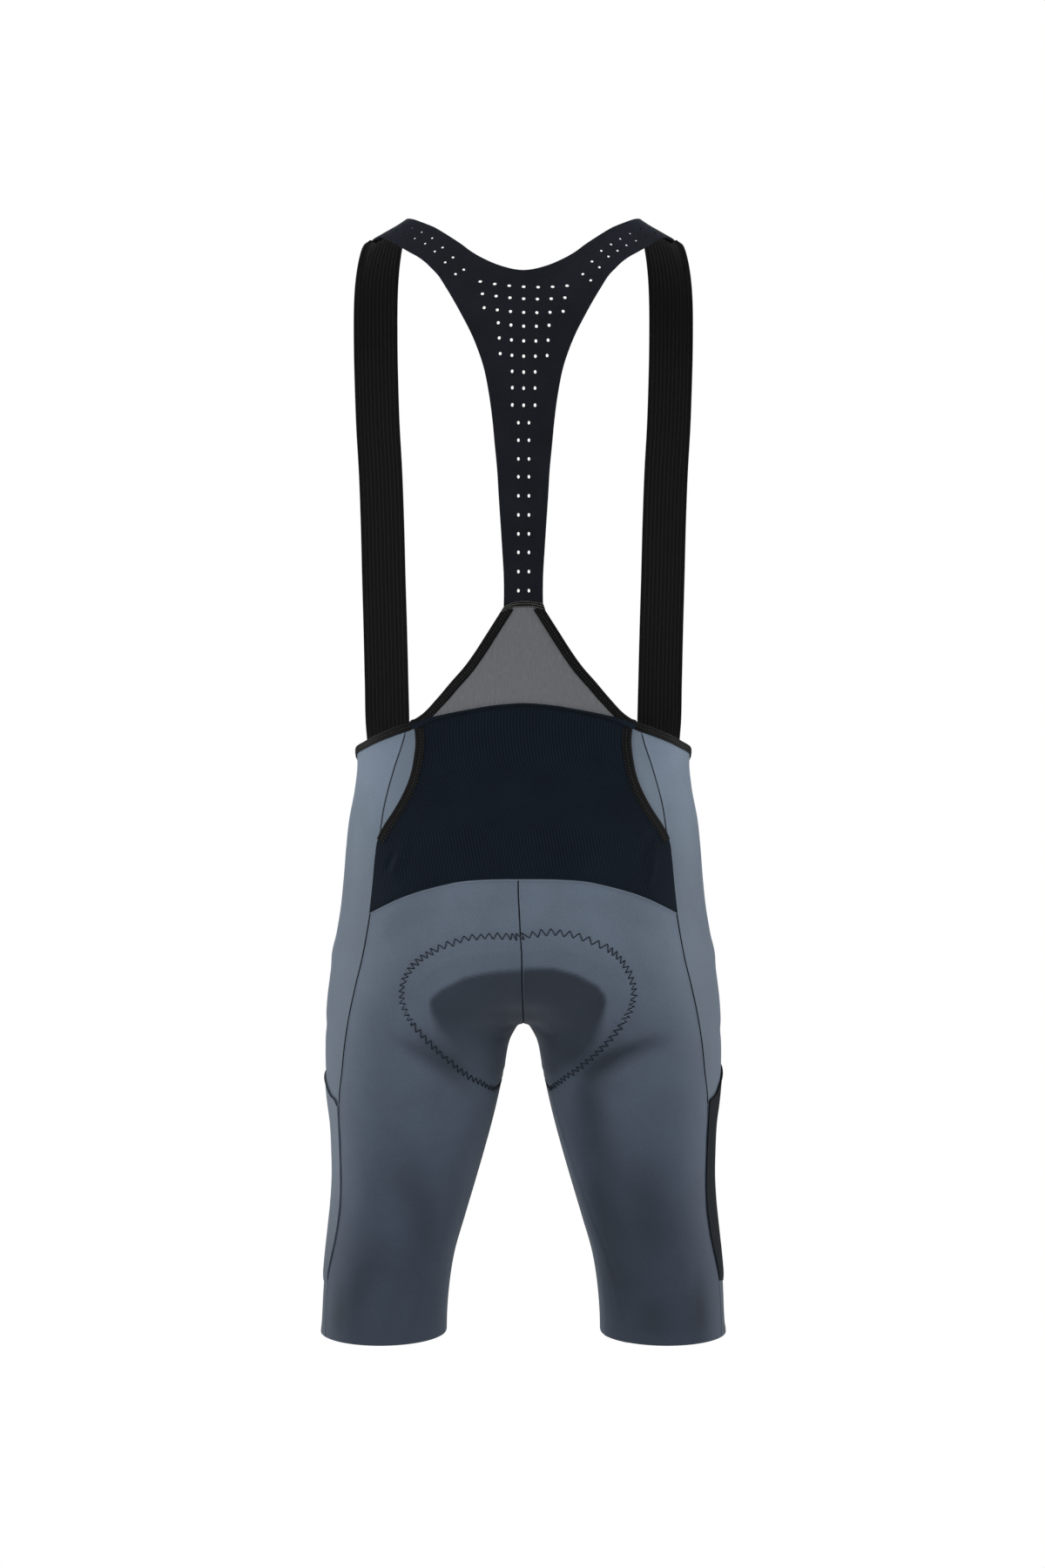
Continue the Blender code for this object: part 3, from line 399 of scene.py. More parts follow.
# %% The outer surface as one search tree
def quads(rows, columns):
    """Corner numbers of every cell of a cloth with this many rows and columns of points."""
    number = np.arange(rows * columns).reshape(rows, columns)
    return np.stack([number[:-1, :-1], number[:-1, 1:], number[1:, 1:], number[1:, :-1]], -1).reshape(-1, 4)


def surface_of(sheets):
    """A search tree over several sheets."""
    points, faces = [], []
    for sheet in sheets:
        faces += (quads(*sheet.shape[:2]) + len(points)).tolist()
        points += sheet.reshape(-1, 3).tolist()
    return BVHTree.FromPolygons(points, faces)


def laid_on(tree, points, towards=None):
    """The nearest places on a surface and the directions out: towards a side, or off the leg's middle."""
    places, directions = [], []
    for point in np.asarray(points, float):
        place, normal, _, _ = tree.find_nearest(Vector(point))
        leg = np.interp(place[2] / MM, (-968, -700, -690, -640), (110, 62, 20, 0)) * MM
        side = np.array(place) - (math.copysign(leg, place[0]), 0, place[2]) if towards is None else towards
        places.append(place)
        directions.append(normal if np.dot(normal, side) > 0 else -normal)
    return np.array(places), np.array(directions)


BODY = ("back_leg", "side_panel", "front_leg", "base_back")
body = surface_of([side(cloth[name]) for name in BODY for side in (np.array, mirrored)])

# %% [markdown]
# ## The pad's outline
# The chamois pad is sewn to the inside of the shorts with a zigzag stitch, and the stitch line
# shows on the outside as a line of small teeth. At the back the line is listed point by point, below
# and in front it follows the pad's own edge, and the pad's sheet is then eased out to it.


# %% Stitch line of the pad
def rim_line(points):
    """The four sides of a sheet as one closed line."""
    return np.concatenate([points[0], points[1:, -1], points[-1, -2::-1], points[-2:0:-1, 0]])


def even_line(line, step):
    """The same closed line with points this far apart."""
    line = np.concatenate([line, line[:1]])
    at = np.concatenate([[0], np.cumsum(steps_of(line))])
    even = np.linspace(0, at[-1], max(2, int(round(at[-1] / step)) + 1))
    return np.stack([np.interp(even, at, line[:, k]) for k in range(3)], -1)[:-1]


def softened(line, times, closed=True):
    """The same line with its corners rounded."""
    for _ in range(times):
        smooth = (np.roll(line, 1, axis=0) + np.roll(line, -1, axis=0) + 2 * line) / 4
        if not closed:
            smooth[[0, -1]] = line[[0, -1]]
        line = smooth
    return line


def thrown(tree, side, first, height):
    """Where a point thrown from a side meets the cloth. first is x, or y from left and right, in mm."""
    start, way = {"back": ((first, 400), (0, -1, 0)), "front": ((first, -400), (0, 1, 0)),
                  "left": ((400, first), (-1, 0, 0)), "right": ((-400, first), (1, 0, 0))}[side]
    origin = Vector((*start, height)) * MM
    place = tree.ray_cast(origin, Vector(way))[0]
    return place if place is not None else tree.find_nearest(origin)[0]


# from the middle of the seat round each side: (distance from the middle, height) in mm
STITCHES = (
    ((2.5, -618.2), (13.8, -617.0), (33.0, -617.3), (52.2, -620.4), (69.8, -627.1), (87.4, -637.8),
     (97.9, -651.2), (100.8, -665.0), (96.6, -682.1), (88.7, -694.5), (76.9, -708.1), (64.3, -721.3),
     (48.4, -736.2), (32.5, -748.2), (24.4, -754.4)),
    ((0.2, -618.0), (-13.4, -614.9), (-29.4, -613.8), (-45.3, -616.9), (-61.3, -622.8), (-77.3, -632.5),
     (-88.6, -651.0), (-91.6, -667.2), (-87.3, -680.4), (-79.5, -693.8), (-65.4, -711.9), (-48.0, -729.4),
     (-30.5, -746.1), (-23.3, -755.0)))
STITCH_STEP = 2 * MM
# how many rows of points the cloth of the pad eases over
EASE_REACH = 18
left_half, right_half = (
    np.array([thrown(body, "back", x, z) for x, z in between(np.array(line), np.linspace(0, 1, 60))])
    for line in STITCHES)
pad_edge = rim_line(cloth["pad"])
under = pad_edge[pad_edge[:, 1] < -10 * MM]
stitch_line = softened(even_line(np.concatenate([left_half, under, right_half[::-1]]), STITCH_STEP), 4)
pad_line, pad_line_away = laid_on(body, stitch_line)


def eased_out(points, edge_moves):
    """The same sheet with its four sides moved, and the cloth between them eased after them."""
    rows, columns = points.shape[:2]
    i, j = np.arange(rows)[:, None, None], np.arange(columns)[None, :, None]
    weights = [np.clip(1 - way / EASE_REACH, 0, 1) for way in (i, rows - 1 - i, j, columns - 1 - j)]
    sides = [edge_moves[:1], edge_moves[-1:], edge_moves[:, :1], edge_moves[:, -1:]]
    return points + sum(w * side for w, side in zip(weights, sides)) / np.maximum(sum(weights), 1)


pad_moves = np.zeros(cloth["pad"].shape)
for side in (np.s_[:, 0], np.s_[:, -1], np.s_[0, :], np.s_[-1, :]):
    for index, point in enumerate(cloth["pad"][side]):
        nearest = np.linalg.norm(pad_line - point, axis=1).argmin()
        move = pad_line[nearest] - point
        pad_moves[side][index] = move - pad_line_away[nearest] * (move @ pad_line_away[nearest])
cloth["pad"] = eased_out(cloth["pad"], pad_moves)
pad_rim = softened(even_line(rim_line(cloth["pad"]), STITCH_STEP), 4)
print("the pad's stitch line is", round(len(pad_line) * STITCH_STEP / MM), "mm long")

# %% [markdown]
# ## Folds and the print of the pad
# A stretched knit shows few folds, and they are long, shallow and soft. Each one is a listed stroke
# laid on the cloth: the spots that it passes, how wide it is and how deep. A minus is a
# trough. The pad under the cloth pushes it out a little, the stitch line pulls it in, and a
# second soft ring inside that line is the edge of the thicker foam. Moving the points themselves
# lets the light find these forms from every side, which a painted shadow couldn't do.


# %% Strokes and the pad's print
def near_line(points, line):
    """How far each point is from a line of points, and the share of the line where it is nearest."""
    flat, some = points.reshape(-1, 1, 3), 2000
    apart = [np.linalg.norm(flat[i:i + some] - line, axis=2) for i in range(0, len(flat), some)]
    apart = np.concatenate(apart)
    share = apart.argmin(axis=1) / (len(line) - 1)
    return apart.min(axis=1).reshape(points.shape[:2]), share.reshape(points.shape[:2])


def near_stroke(points, tree, side, spots, width):
    """How strongly a stroke reaches each point, 0 to 1, and the share of the stroke there."""
    spots = between(np.array(spots, float), np.linspace(0, 1, 24))
    far, share = near_line(points, np.array([thrown(tree, side, a, b) for a, b in spots]))
    return np.exp(-(far / (width * MM)) ** 2), share


def stroked(points, tree, side, strokes):
    """How far the strokes, seen from a side, lift each point of a cloth, in metres."""
    lift = np.zeros(points.shape[:2])
    for *spots, width, height in strokes:
        near, share = near_stroke(points, tree, side, spots, width)
        lift += height * MM * near * np.sin(np.pi * share) ** 0.6
    return lift


def eased_step(t):
    """0 below 0 and 1 above 1, with a soft start and end."""
    t = np.clip(t, 0, 1)
    return t * t * (3 - 2 * t)


def bell(distance, width):
    """1 at a distance of 0, and near 0 beyond twice the width."""
    return np.exp(-(distance / width) ** 2)


def edge_roll(points, top):
    """How far a flat seam lifts and draws down the cloth beside it, at its sides and perhaps its top."""
    u, v = flat_lengths(points)
    near = np.min([u, u[:, -1:] - u] + [v] * top, axis=0) / MM
    return (0.34 * bell(near - 1.5, 0.9) - 0.55 * bell(near, 0.55)) * MM


def pad_print(points):
    """How far the pad under a cloth lifts each point, in metres."""
    far, _ = near_line(points, pad_line)
    to_rim, _ = near_line(points, pad_rim)
    to_pad = np.array([pad_tree.find_nearest(Vector(p))[3] for p in points.reshape(-1, 3)]).reshape(far.shape)
    inside = np.where(to_pad < to_rim - 0.25 * MM, far, -far) / MM
    lift = 0.5 * eased_step(inside / 7) - 0.55 * bell(inside, 1.7) - 0.35 * bell(inside - 9, 2.2)
    lift += 0.35 * bell(inside - 13, 3.0)
    lift -= 0.4 * np.clip(inside / 12, 0, 1) * bell(points[..., 0] / MM, 5)
    return lift * MM


# each side's strokes: spots as (distance from the middle or depth, height), width and height, in mm
FOLDS = {
    "back_leg": {
        "left": (
            ((108, -705), (93, -715), (81, -722), (69, -729), (57, -737), (46, -745), 6.0, -3.4),
            ((106, -721), (90, -732), (74, -742), (62, -750), 9.0, 1.4),
            ((62, -688), (46, -704), (34, -718), 6.0, 0.5), ((24, -705), (18, -708), (12, -709), 2.4, -0.6),
            ((96, -905), (103, -935), (113, -966), 7.0, -1.5),
            ((84, -915), (92, -945), (99, -966), 6.0, 1.0),
            ((124, -890), (126, -925), (129, -962), 9.0, 1.0),
            ((112, -622), (100, -612), (76, -601), (44, -594), 10.0, -2.2),
            ((60, -800), (66, -850), (76, -900), 12.0, -1.0)),
        "right": (
            ((-112, -703), (-97, -712), (-84, -719), (-70, -728), (-54, -739), 7.5, -4.4),
            ((-108, -722), (-90, -733), (-72, -744), (-60, -752), 10.0, 1.6),
            ((-56, -690), (-42, -706), (-32, -718), 6.0, 0.5),
            ((-24, -702), (-18, -704), (-12, -704), 2.4, -0.5),
            ((-93, -900), (-100, -930), (-104, -964), 9.0, -1.5),
            ((-133, -885), (-136, -925), (-138, -958), 9.0, 1.2),
            ((-106, -620), (-92, -607), (-66, -598), (-36, -594), 9.0, -0.9),
            ((-62, -806), (-68, -856), (-79, -906), 12.0, -0.9),
            ((-76, -836), (-84, -868), (-88, -896), 7.0, 0.5))},
    "front_leg": {
        "left": (
            ((46, -668), (70, -690), (96, -700), 4.5, -1.6),
            ((52, -682), (78, -704), (104, -712), 6.0, 1.2),
            ((34, -640), (60, -655), (92, -664), 6.0, -0.9),
            ((118, -892), (112, -925), (104, -962), 8.0, -1.3),
            ((92, -900), (90, -930), (86, -960), 7.0, 0.9)),
        "right": (
            ((-44, -670), (-66, -688), (-90, -702), 4.5, -1.5),
            ((-50, -684), (-74, -704), (-98, -716), 6.0, 1.1),
            ((-30, -646), (-62, -656), (-86, -668), 6.0, -0.8),
            ((-112, -896), (-108, -930), (-101, -964), 8.0, -1.2))},
    "side_panel": {
        "left": (
            ((60, -690), (24, -700), (-16, -698), 7.0, -1.0), ((30, -520), (20, -560), (26, -600), 9.0, -0.8),
            ((-10, -935), (-4, -950), (2, -965), 7.0, -1.0)),
        "right": (
            ((56, -694), (18, -706), (-12, -700), 7.0, -0.9), ((24, -528), (16, -566), (22, -604), 9.0, -0.8),
            ((-4, -930), (2, -948), (6, -964), 7.0, -1.0))},
}


def leaning(points):
    """The same cloth with its middle seam leaning: its top lies 4 mm to the wearer's left of its foot."""
    lean = np.interp(points[..., 2] / MM, (-690, -665, -632, -618, -580), (0, 0.7, 1.4, 2.3, 4.2)) * MM
    moved = points.copy()
    moved[..., 0] += lean * bell(points[..., 0], 45 * MM) * (points[..., 1] > 0)
    return moved


shaped = {}
pad_tree = surface_of([cloth["pad"]])
for word, side in SIDES.items():
    for name, folds in FOLDS.items():
        points, normals = cloth[name] * (side, 1, 1), out[name] * (side, 1, 1)
        seen_from = word if name == "side_panel" else name[:-4]
        lift = pad_print(points) if name != "side_panel" else 0
        seam_strength = np.interp(points[..., 2] / MM, (-795, -765), (0.25, 1))
        lift = lift + stroked(points, body, seen_from, folds[word])
        lift = lift + edge_roll(points, name == "back_leg") * seam_strength
        shaped[name + "_" + word] = leaning(points + normals * lift[..., None])
        print(name, word, "is lifted", round(lift.min() / MM, 2), "to", round(lift.max() / MM, 2), "mm")

# %% [markdown]
# ## Laying a cloth
# Every cloth here starts as a plain grid, is laid on its points and gets its wall inward with
# Solidify. Its UV map is in metres, measured along the cloth, so a knit or a rib keeps its real
# size and follows the cloth round the leg.


# %% Laying a cloth and attaching it
SMOOTH_ANGLE = math.radians(50)


def modified(piece, kind, **settings):
    """Gives the active piece a modifier and applies it."""
    modifier = piece.modifiers.new(kind.lower(), kind)
    for key, value in settings.items():
        setattr(modifier, key, value)
    bpy.ops.object.modifier_apply(modifier=modifier.name)


def edited(*steps):
    """Takes the steps in edit mode, on the whole active mesh."""
    bpy.ops.object.mode_set(mode="EDIT")
    bpy.ops.mesh.select_all(action="SELECT")
    for operator, settings in steps:
        operator(**settings)
    bpy.ops.object.mode_set(mode="OBJECT")


def noted(items, key, values):
    """Writes one number, or one row of numbers, for each item of a mesh."""
    items.foreach_set(key, np.ascontiguousarray(values, float).reshape(-1))


def lay_cloth(name, points, away, wall, material, notes=None, wrapped=False):
    """Cloth on rows of points, its wall inward. away points out of it, as one direction or one for each."""
    rows, columns = points.shape[:2]
    chosen()
    bpy.ops.mesh.primitive_grid_add(x_subdivisions=columns - 1, y_subdivisions=rows - 1, size=1)
    piece = bpy.context.object
    mesh = piece.data
    piece.name = mesh.name = name
    noted(mesh.vertices, "co", points)
    corners = np.empty(len(mesh.loops), int)
    mesh.loops.foreach_get("vertex_index", corners)
    noted(mesh.uv_layers[0].data, "uv", np.stack(flat_lengths(points), -1).reshape(-1, 2)[corners])
    for word, values in (notes or {}).items():
        noted(mesh.attributes.new(word, "FLOAT", "POINT").data, "value", values)
    turned_in = (facing(points) * np.array(away)).sum() < 0
    edited(*[(bpy.ops.mesh.flip_normals, {})] * turned_in,
           *[(bpy.ops.mesh.remove_doubles, {"threshold": SAME_POINT / 2})] * wrapped)
    if wall:
        modified(piece, "SOLIDIFY", thickness=wall, offset=-1)
    bpy.ops.object.shade_smooth_by_angle(angle=SMOOTH_ANGLE)
    mesh.materials.append(material)
    return piece


def cloth_size(points):
    """The flat width, length and area of the cloth that shows, in metres and square metres."""
    u, v = flat_lengths(points)
    corners = points.reshape(-1, 3)[quads(*points.shape[:2])]
    one, two = corners[:, 2] - corners[:, 0], corners[:, 3] - corners[:, 1]
    area = 0.5 * np.linalg.norm(np.cross(one, two), axis=1).sum()
    return float(u[:, -1].max()), float(v[-1].mean()), float(area)


def riding(piece, node=None):
    """Attaches a piece to the garment's root, and hides the node it stands for, if there is one."""
    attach(piece, "root")
    if node:
        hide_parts(node)
    return piece


def cut_cloth(name, node, points, away, wall, material, notes=None):
    """Lays a cloth, attaches it to the garment, and hides the node it stands for."""
    piece = riding(lay_cloth(name, points, away, wall * MM, material, notes), node)


# %% [markdown]
# ## The cloths
# The shorts are a warp knit of nylon and elastane, calendered smooth. Up close it is a fine, even
# grain with a faint heather of lighter and darker yarn, and it has a soft sheen where it turns
# away. The knit's real loops are about 0.3 mm, too fine to show, so the grain is drawn at about
# 1 mm and very weak. The side panels are the same knit in a lighter shade.


# %% Plain materials
def new_material(name):
    """An empty material, its node tree, and the places on it: in space and along the cloth."""
    material = bpy.data.materials.new(name)
    tree = emptied(material)
    return material, tree, add(tree, "TexCoord").outputs


def grained(name, dark, light, scale, detail, strength, depth, **finish):
    """A plain cloth whose fine grain runs between two shades, and stands depth high, in mm."""
    material, tree, place = new_material(name)
    grain = add(tree, "TexNoise", Vector=place["Object"], Scale=scale, Detail=detail)
    colour = add(tree, "Mix", Factor=grain, A=dark, B=light, data_type="RGBA")
    relief = add(tree, "Bump", Height=grain, Strength=strength, Distance=depth * MM)
    shader = add(tree, "BsdfPrincipled", Base_Color=colour, Normal=relief, **finish)
    add(tree, "OutputMaterial", Surface=shader)
    return material


def thread(name, colour, roughness=0.7, specular=0.25):
    """Twisted polyester thread. Each stitch is a piece of its own, so it needs no pattern."""
    material = bpy.data.materials.new(name)
    tree = emptied(material)
    shader = add(tree, "BsdfPrincipled", Base_Color=colour, Roughness=roughness, Specular_IOR_Level=specular)
    add(tree, "OutputMaterial", Surface=shader)
    return material


# %% Warp knit of the legs and the side panels
# features to a metre of the knit's grain, 1.4 mm wide, and of its soft patches, 38 mm wide
KNIT_GRAIN, KNIT_PATCHES = 700.0, 26.0
# the heights, in metres, between which the painted shade at the hem fades out
HEM_HEIGHTS = (-0.95, -0.82)
# how bright the painted shade in a rib knit's valleys and the painted light on its tops are
PAINTED_RIB_SHADES = (0.62, 1.38)


def warp_knit(name, colour, shadow, shaded_low_colour, heather=0.10, ribs=0.0, rib_depth=0.12, roughness=0.62,
              sheen=0.12, specular=0.3, heights=(-0.92, -0.58), hem=1.0):
    """Smooth stretch knit in colour at the waist, with painted shade: shadow where the shade attribute
    asks for it, and a painted darkening toward the hem, down to shaded_low_colour.

    heights, in metres, are where shaded_low_colour ends and colour starts, and hem is how bright the
    painted shade leaves the foot of the leg. ribs is the pitch of a rib knit in metres, and rib_depth
    its relief in mm; the ribs get painted shade in their valleys and painted light on their tops.
    """
    material, tree, place = new_material(name)
    grain = add(tree, "TexNoise", Vector=place["Object"], Scale=KNIT_GRAIN, Detail=2.0, Roughness=0.7)
    patches = add(tree, "TexNoise", Vector=place["Object"], Scale=KNIT_PATCHES, Detail=3.0)
    height = add(tree, "SeparateXYZ", place["Object"]).outputs["Z"]
    # painted shade: the colour darkens from colour at heights[1] down to shaded_low_colour at heights[0]
    painted_height_light = add(tree, "MapRange", Value=height, From_Min=heights[0], From_Max=heights[1],
                interpolation_type="SMOOTHSTEP")
    # painted shade: where the cloth's shade attribute asks for it, the colour is mixed toward shadow
    pressed = add(tree, "Attribute", attribute_name="shade").outputs["Fac"]
    shade = add(tree, "Mix", Factor=painted_height_light, A=shaded_low_colour, B=colour, data_type="RGBA")
    shade = add(tree, "Mix", Factor=pressed, A=shade, B=shadow, data_type="RGBA")
    both_grains = add(tree, "Math", grain, patches, operation="ADD")
    amount = add(tree, "MapRange", Value=both_grains, From_Min=0.6, From_Max=1.4,
                 To_Min=1 - heather, To_Max=1 + heather)
    # painted shade: the foot of the leg is darkened further, down to hem
    painted_hem_shade = add(tree, "MapRange", Value=height, From_Min=HEM_HEIGHTS[0], From_Max=HEM_HEIGHTS[1], To_Min=hem)
    amount = add(tree, "Math", amount, painted_hem_shade, operation="MULTIPLY")
    relief = grain
    if ribs:
        across = add(tree, "SeparateXYZ", place["UV"]).outputs["X"]
        turn = add(tree, "Math", across, 2 * math.pi / ribs, operation="MULTIPLY")
        rib = add(tree, "Math", turn, operation="SINE")
        relief = add(tree, "Math", rib, 0.4, grain, operation="MULTIPLY_ADD")
        # painted light on the ribs' tops and painted shade in their valleys
        painted_rib_shade = add(tree, "MapRange", Value=rib, From_Min=-1.0, From_Max=1.0,
                        To_Min=PAINTED_RIB_SHADES[0], To_Max=PAINTED_RIB_SHADES[1])
        amount = add(tree, "Math", amount, painted_rib_shade, operation="MULTIPLY")
    yarn = add(tree, "Mix", Factor=1.0, A=shade, B=amount, data_type="RGBA", blend_type="MULTIPLY")
    relief = add(tree, "Bump", Height=relief, Strength=0.35, Distance=rib_depth * MM)
    shader = add(tree, "BsdfPrincipled", Base_Color=yarn, Roughness=roughness, Specular_IOR_Level=specular,
                 Sheen_Weight=sheen, Sheen_Roughness=0.45, Sheen_Tint="#c8d4e4", Normal=relief)
    add(tree, "OutputMaterial", Surface=shader)
    return material


# %% The knits
# Calendered nylon and elastane in slate blue: smooth and matt, with a pale sheen where it turns away.
leg_knit = warp_knit("slate_blue_warp_knit", "#6a7788", "#333b48", "#475365", heather=0.15, sheen=0.45,
                     hem=0.8)
# The same knit in a lighter shade, with less sheen.
side_knit = warp_knit("light_slate_warp_knit", "#8190a3", "#4a525e", "#6b7887", heather=0.13, sheen=0.3,
                      heights=(-0.60, -0.45), hem=0.5)
# The light knit of the panel behind the pocket, a shade greyer.
back_knit = warp_knit("light_slate_back_knit", "#7a8899", "#4a525e", "#6b7887")
# Navy rib knit: dull, with fine upright ribs 2.7 mm apart, with painted shade between them and painted light
# on top.
pocket_knit = warp_knit("navy_rib_knit", "#131c27", "#0c1118", "#131c27", heather=0.22, ribs=2.7 * MM,
                        rib_depth=0.5, roughness=0.75, sheen=0.02, specular=0.1)
# The leg knit dyed black, on which hardly any sheen is left.
black_knit = warp_knit("black_pocket_knit", "#10161d", "#0c1118", "#10161d", roughness=0.7, sheen=0.04,
                       specular=0.15)
# The light knit again, with painted shade only toward the foot of the pocket.
leg_pocket_knit = warp_knit("light_slate_pocket_knit", "#75818f", "#4a525e", "#56616e", sheen=0.3,
                            heights=(-0.93, -0.80))
knits = (leg_knit, side_knit, back_knit, pocket_knit, black_knit, leg_pocket_knit)
print("knits made:", [knit.name for knit in knits])

# %% [markdown]
# ## The seat, the legs and the side panels
# Six panels make the legs: a back, a front and a side for each. They are stretched over the
# body's form and sewn edge to edge with a flat seam. Over the thicker foam of the pad the cloth's
# colour is darkened with painted shade. Down the legs painted shade darkens the knit too, along
# the creases below the seat and in broad soft patches that differ from leg to leg.

# %% Leg and side panels
# the outline of the painted shade over the thick foam on each side: (distance from the middle, height) in mm
FOAM_OUTLINES = {
    "left": ((-4.0, -644.6), (12.2, -645.7), (31.5, -647.5), (49.0, -651.4), (67.5, -660.7), (76.3, -668.9),
             (77.2, -673.8), (76.2, -680.4), (70.3, -695.7), (64.1, -706.1), (54.7, -720.2), (43.6, -733.3),
             (30.8, -744.2), (18.0, -756.0), (-4.0, -756.0)),
    "right": ((4.0, -645.2), (-5.4, -643.6), (-24.6, -643.4), (-43.8, -648.6), (-61.4, -658.3),
              (-67.0, -665.5), (-68.2, -672.2), (-66.8, -680.6), (-62.0, -697.7), (-57.3, -708.2),
              (-47.9, -722.5), (-38.4, -734.1), (-27.2, -745.2), (-18.0, -756.0), (4.0, -756.0)),
}
# strokes of painted shade on the back, on the seat, in its creases and down the legs: spots as above, width
# in mm and how dark
SHADE_STROKES = {
    "left": (
        ((110, -790), (94, -832), (82, -872), (88, -902), 16, 0.5),
        ((120, -884), (142, -924), (150, -958), 12, 0.6), ((156, -915), (162, -966), 9, 0.7),
        ((106, -704), (88, -716), (70, -729), (50, -743), 7, 0.5),
        ((128, -622), (100, -607), (66, -592), 20, 0.16),
        ((90, -700), (72, -714), (57, -728), (44, -742), 9.5, 0.7)),
    "right": (
        ((-50, -786), (-64, -840), (-74, -890), (-80, -955), 24, 0.85),
        ((-98, -800), (-106, -850), (-114, -905), 18, 0.7), ((-146, -915), (-154, -966), 11, 0.9),
        ((-108, -922), (-116, -966), 18, 0.6),
        ((-116, -705), (-96, -712), (-76, -721), (-56, -734), 8.5, 0.85),
        ((-88, -698), (-66, -716), (-54, -745), (-58, -775), (-72, -812), 17, 0.75)),
}
# how dark the painted shade over the foam is on each side, and how much of that is lost toward its foot
FOAM_SHADE_STRENGTH = {"left": (0.92, 0.6), "right": (1.0, 0.1)}


def inside_outline(x, z, outline):
    """How far inside a closed outline each point lies, and below 0 outside it."""
    near, inside = np.full(x.shape, 1e9), np.zeros(x.shape, bool)
    for (ax, az), (bx, bz) in zip(outline, outline[1:] + outline[:1]):
        wide, tall = bx - ax, bz - az
        share = np.clip(((x - ax) * wide + (z - az) * tall) / (wide ** 2 + tall ** 2), 0, 1)
        near = np.minimum(near, np.hypot(x - ax - share * wide, z - az - share * tall))
        if tall:
            inside ^= ((az > z) != (bz > z)) & (x < ax + (z - az) / tall * wide)
    return np.where(inside, near, -near)


def painted_shade(points, word):
    """How much painted shade the cloth gets over the thick foam, in its creases and in soft patches, 0 to 1.
    """
    x, y, z = np.moveaxis(points, -1, 0) / MM
    strength, lost = FOAM_SHADE_STRENGTH[word]
    # the painted shade's edge is crisp at the foam's top, and softer toward its foot and the middle
    soft = np.interp(z, (-745, -700, -675, -645), (24, 15, 4.0, 4.5)) + bell(x, 22) * 3
    shade = eased_step(0.5 + inside_outline(x, z, FOAM_OUTLINES[word]) / soft)
    shade *= (1 - np.clip((-685 - z) / 50, 0, 1) * lost) * strength
    for *spots, width, amount in SHADE_STROKES[word]:
        near, along = near_stroke(points, body, "back", spots, width)
        shade += amount * near * (0.3 + 0.7 * np.sin(np.pi * along))
    return np.clip(shade, 0, 1) * np.clip((y + 30) / 30, 0, 1)


# thickness of each cloth in mm
WALL, THIN_WALL, MESH_WALL, FOLD_WALL, STRAP_WALL, YOKE_WALL = 1.1, 0.9, 0.5, 0.6, 1.2, 1.0
for key, points in list(shaped.items()):
    name, word = key.rsplit("_", 1)
    leg = name != "side_panel"
    shade = painted_shade(points, word) if leg else np.zeros(points.shape[:2])
    cut_cloth(key + "_cloth", key, points,
              np.array(PANELS[name][1]) * (SIDES[word], 1, 1), WALL, leg_knit if leg else side_knit,
              notes={"shade": shade})

# %% [markdown]
# ## The back panel, the overlay pocket and the sheer triangle
# Behind the dark pocket a light panel closes the back. The pocket is a thinner, ribbed knit laid
# over it, sewn down at its top and its bottom, and open at both sides. Above it a triangle of
# sheer mesh runs up to the yoke. Power mesh is knitted from dark grey monofilament with open eyes
# of under 1 mm. At this distance the eyes melt into one even film, so the material is a thin
# cloth with a share of clear film in it, and a fine upright streak where the wales stand closer.

# %% Back panel and overlay pocket
POCKET_FOLDS = (
    ((84, -492), (74, -494), (60, -497), 3.0, -0.8), ((86, -500), (72, -503), (58, -504), 3.5, 0.7),
    ((108, -548), (112, -556), (116, -566), 2.4, -1.3), ((100, -546), (106, -558), (110, -570), 2.6, 1.2),
    ((92, -540), (96, -556), (100, -574), 3.4, -1.0), ((-84, -494), (-72, -497), (-58, -499), 3.0, -0.7),
    ((-104, -530), (-96, -538), (-86, -546), 2.6, 1.3), ((-110, -536), (-103, -546), (-94, -556), 2.6, -1.3),
    ((-112, -548), (-108, -562), (-104, -578), 2.6, 1.1), ((40, -436), (36, -470), (30, -510), 8.0, -0.5),
    ((-34, -440), (-30, -480), (-22, -520), 8.0, 0.5))
BACK = (0, 1, 0)
pocket_lift = stroked(cloth["pocket"], surface_of([cloth["pocket"]]), "back", POCKET_FOLDS)
shaped["pocket"] = cloth["pocket"] + out["pocket"] * pocket_lift[..., None]
cut_cloth("base_back_cloth", "base_back_panel", cloth["base_back"], BACK, WALL, back_knit)
cut_cloth("back_pocket_cloth", "back_pocket", shaped["pocket"], BACK, THIN_WALL, pocket_knit)

# %% Sheer mesh triangle
# Monofilament power mesh: a dark grey film that lets a little of what lies behind it show.
power_mesh, tree, place = new_material("grey_power_mesh")
upright = add(tree, "Mapping", Vector=place["Object"], Scale=(900.0, 300.0, 180.0))
wales = add(tree, "TexNoise", Vector=upright, Scale=1.0, Detail=2.0)
yarn = add(tree, "Mix", Factor=wales, A="#62656a", B="#84878c", data_type="RGBA")
film = add(tree, "BsdfPrincipled", Base_Color=yarn, Roughness=0.55, Specular_IOR_Level=0.35)
open_share = add(tree, "MapRange", Value=wales, From_Min=0.3, From_Max=0.7, To_Min=0.16, To_Max=0.07)
clear = add(tree, "BsdfTransparent")
add(tree, "OutputMaterial", Surface=add(tree, "MixShader", open_share, film, clear))
cut_cloth("bib_mesh_cloth", "bib_mesh_panel", cloth["mesh"], BACK, MESH_WALL, power_mesh)

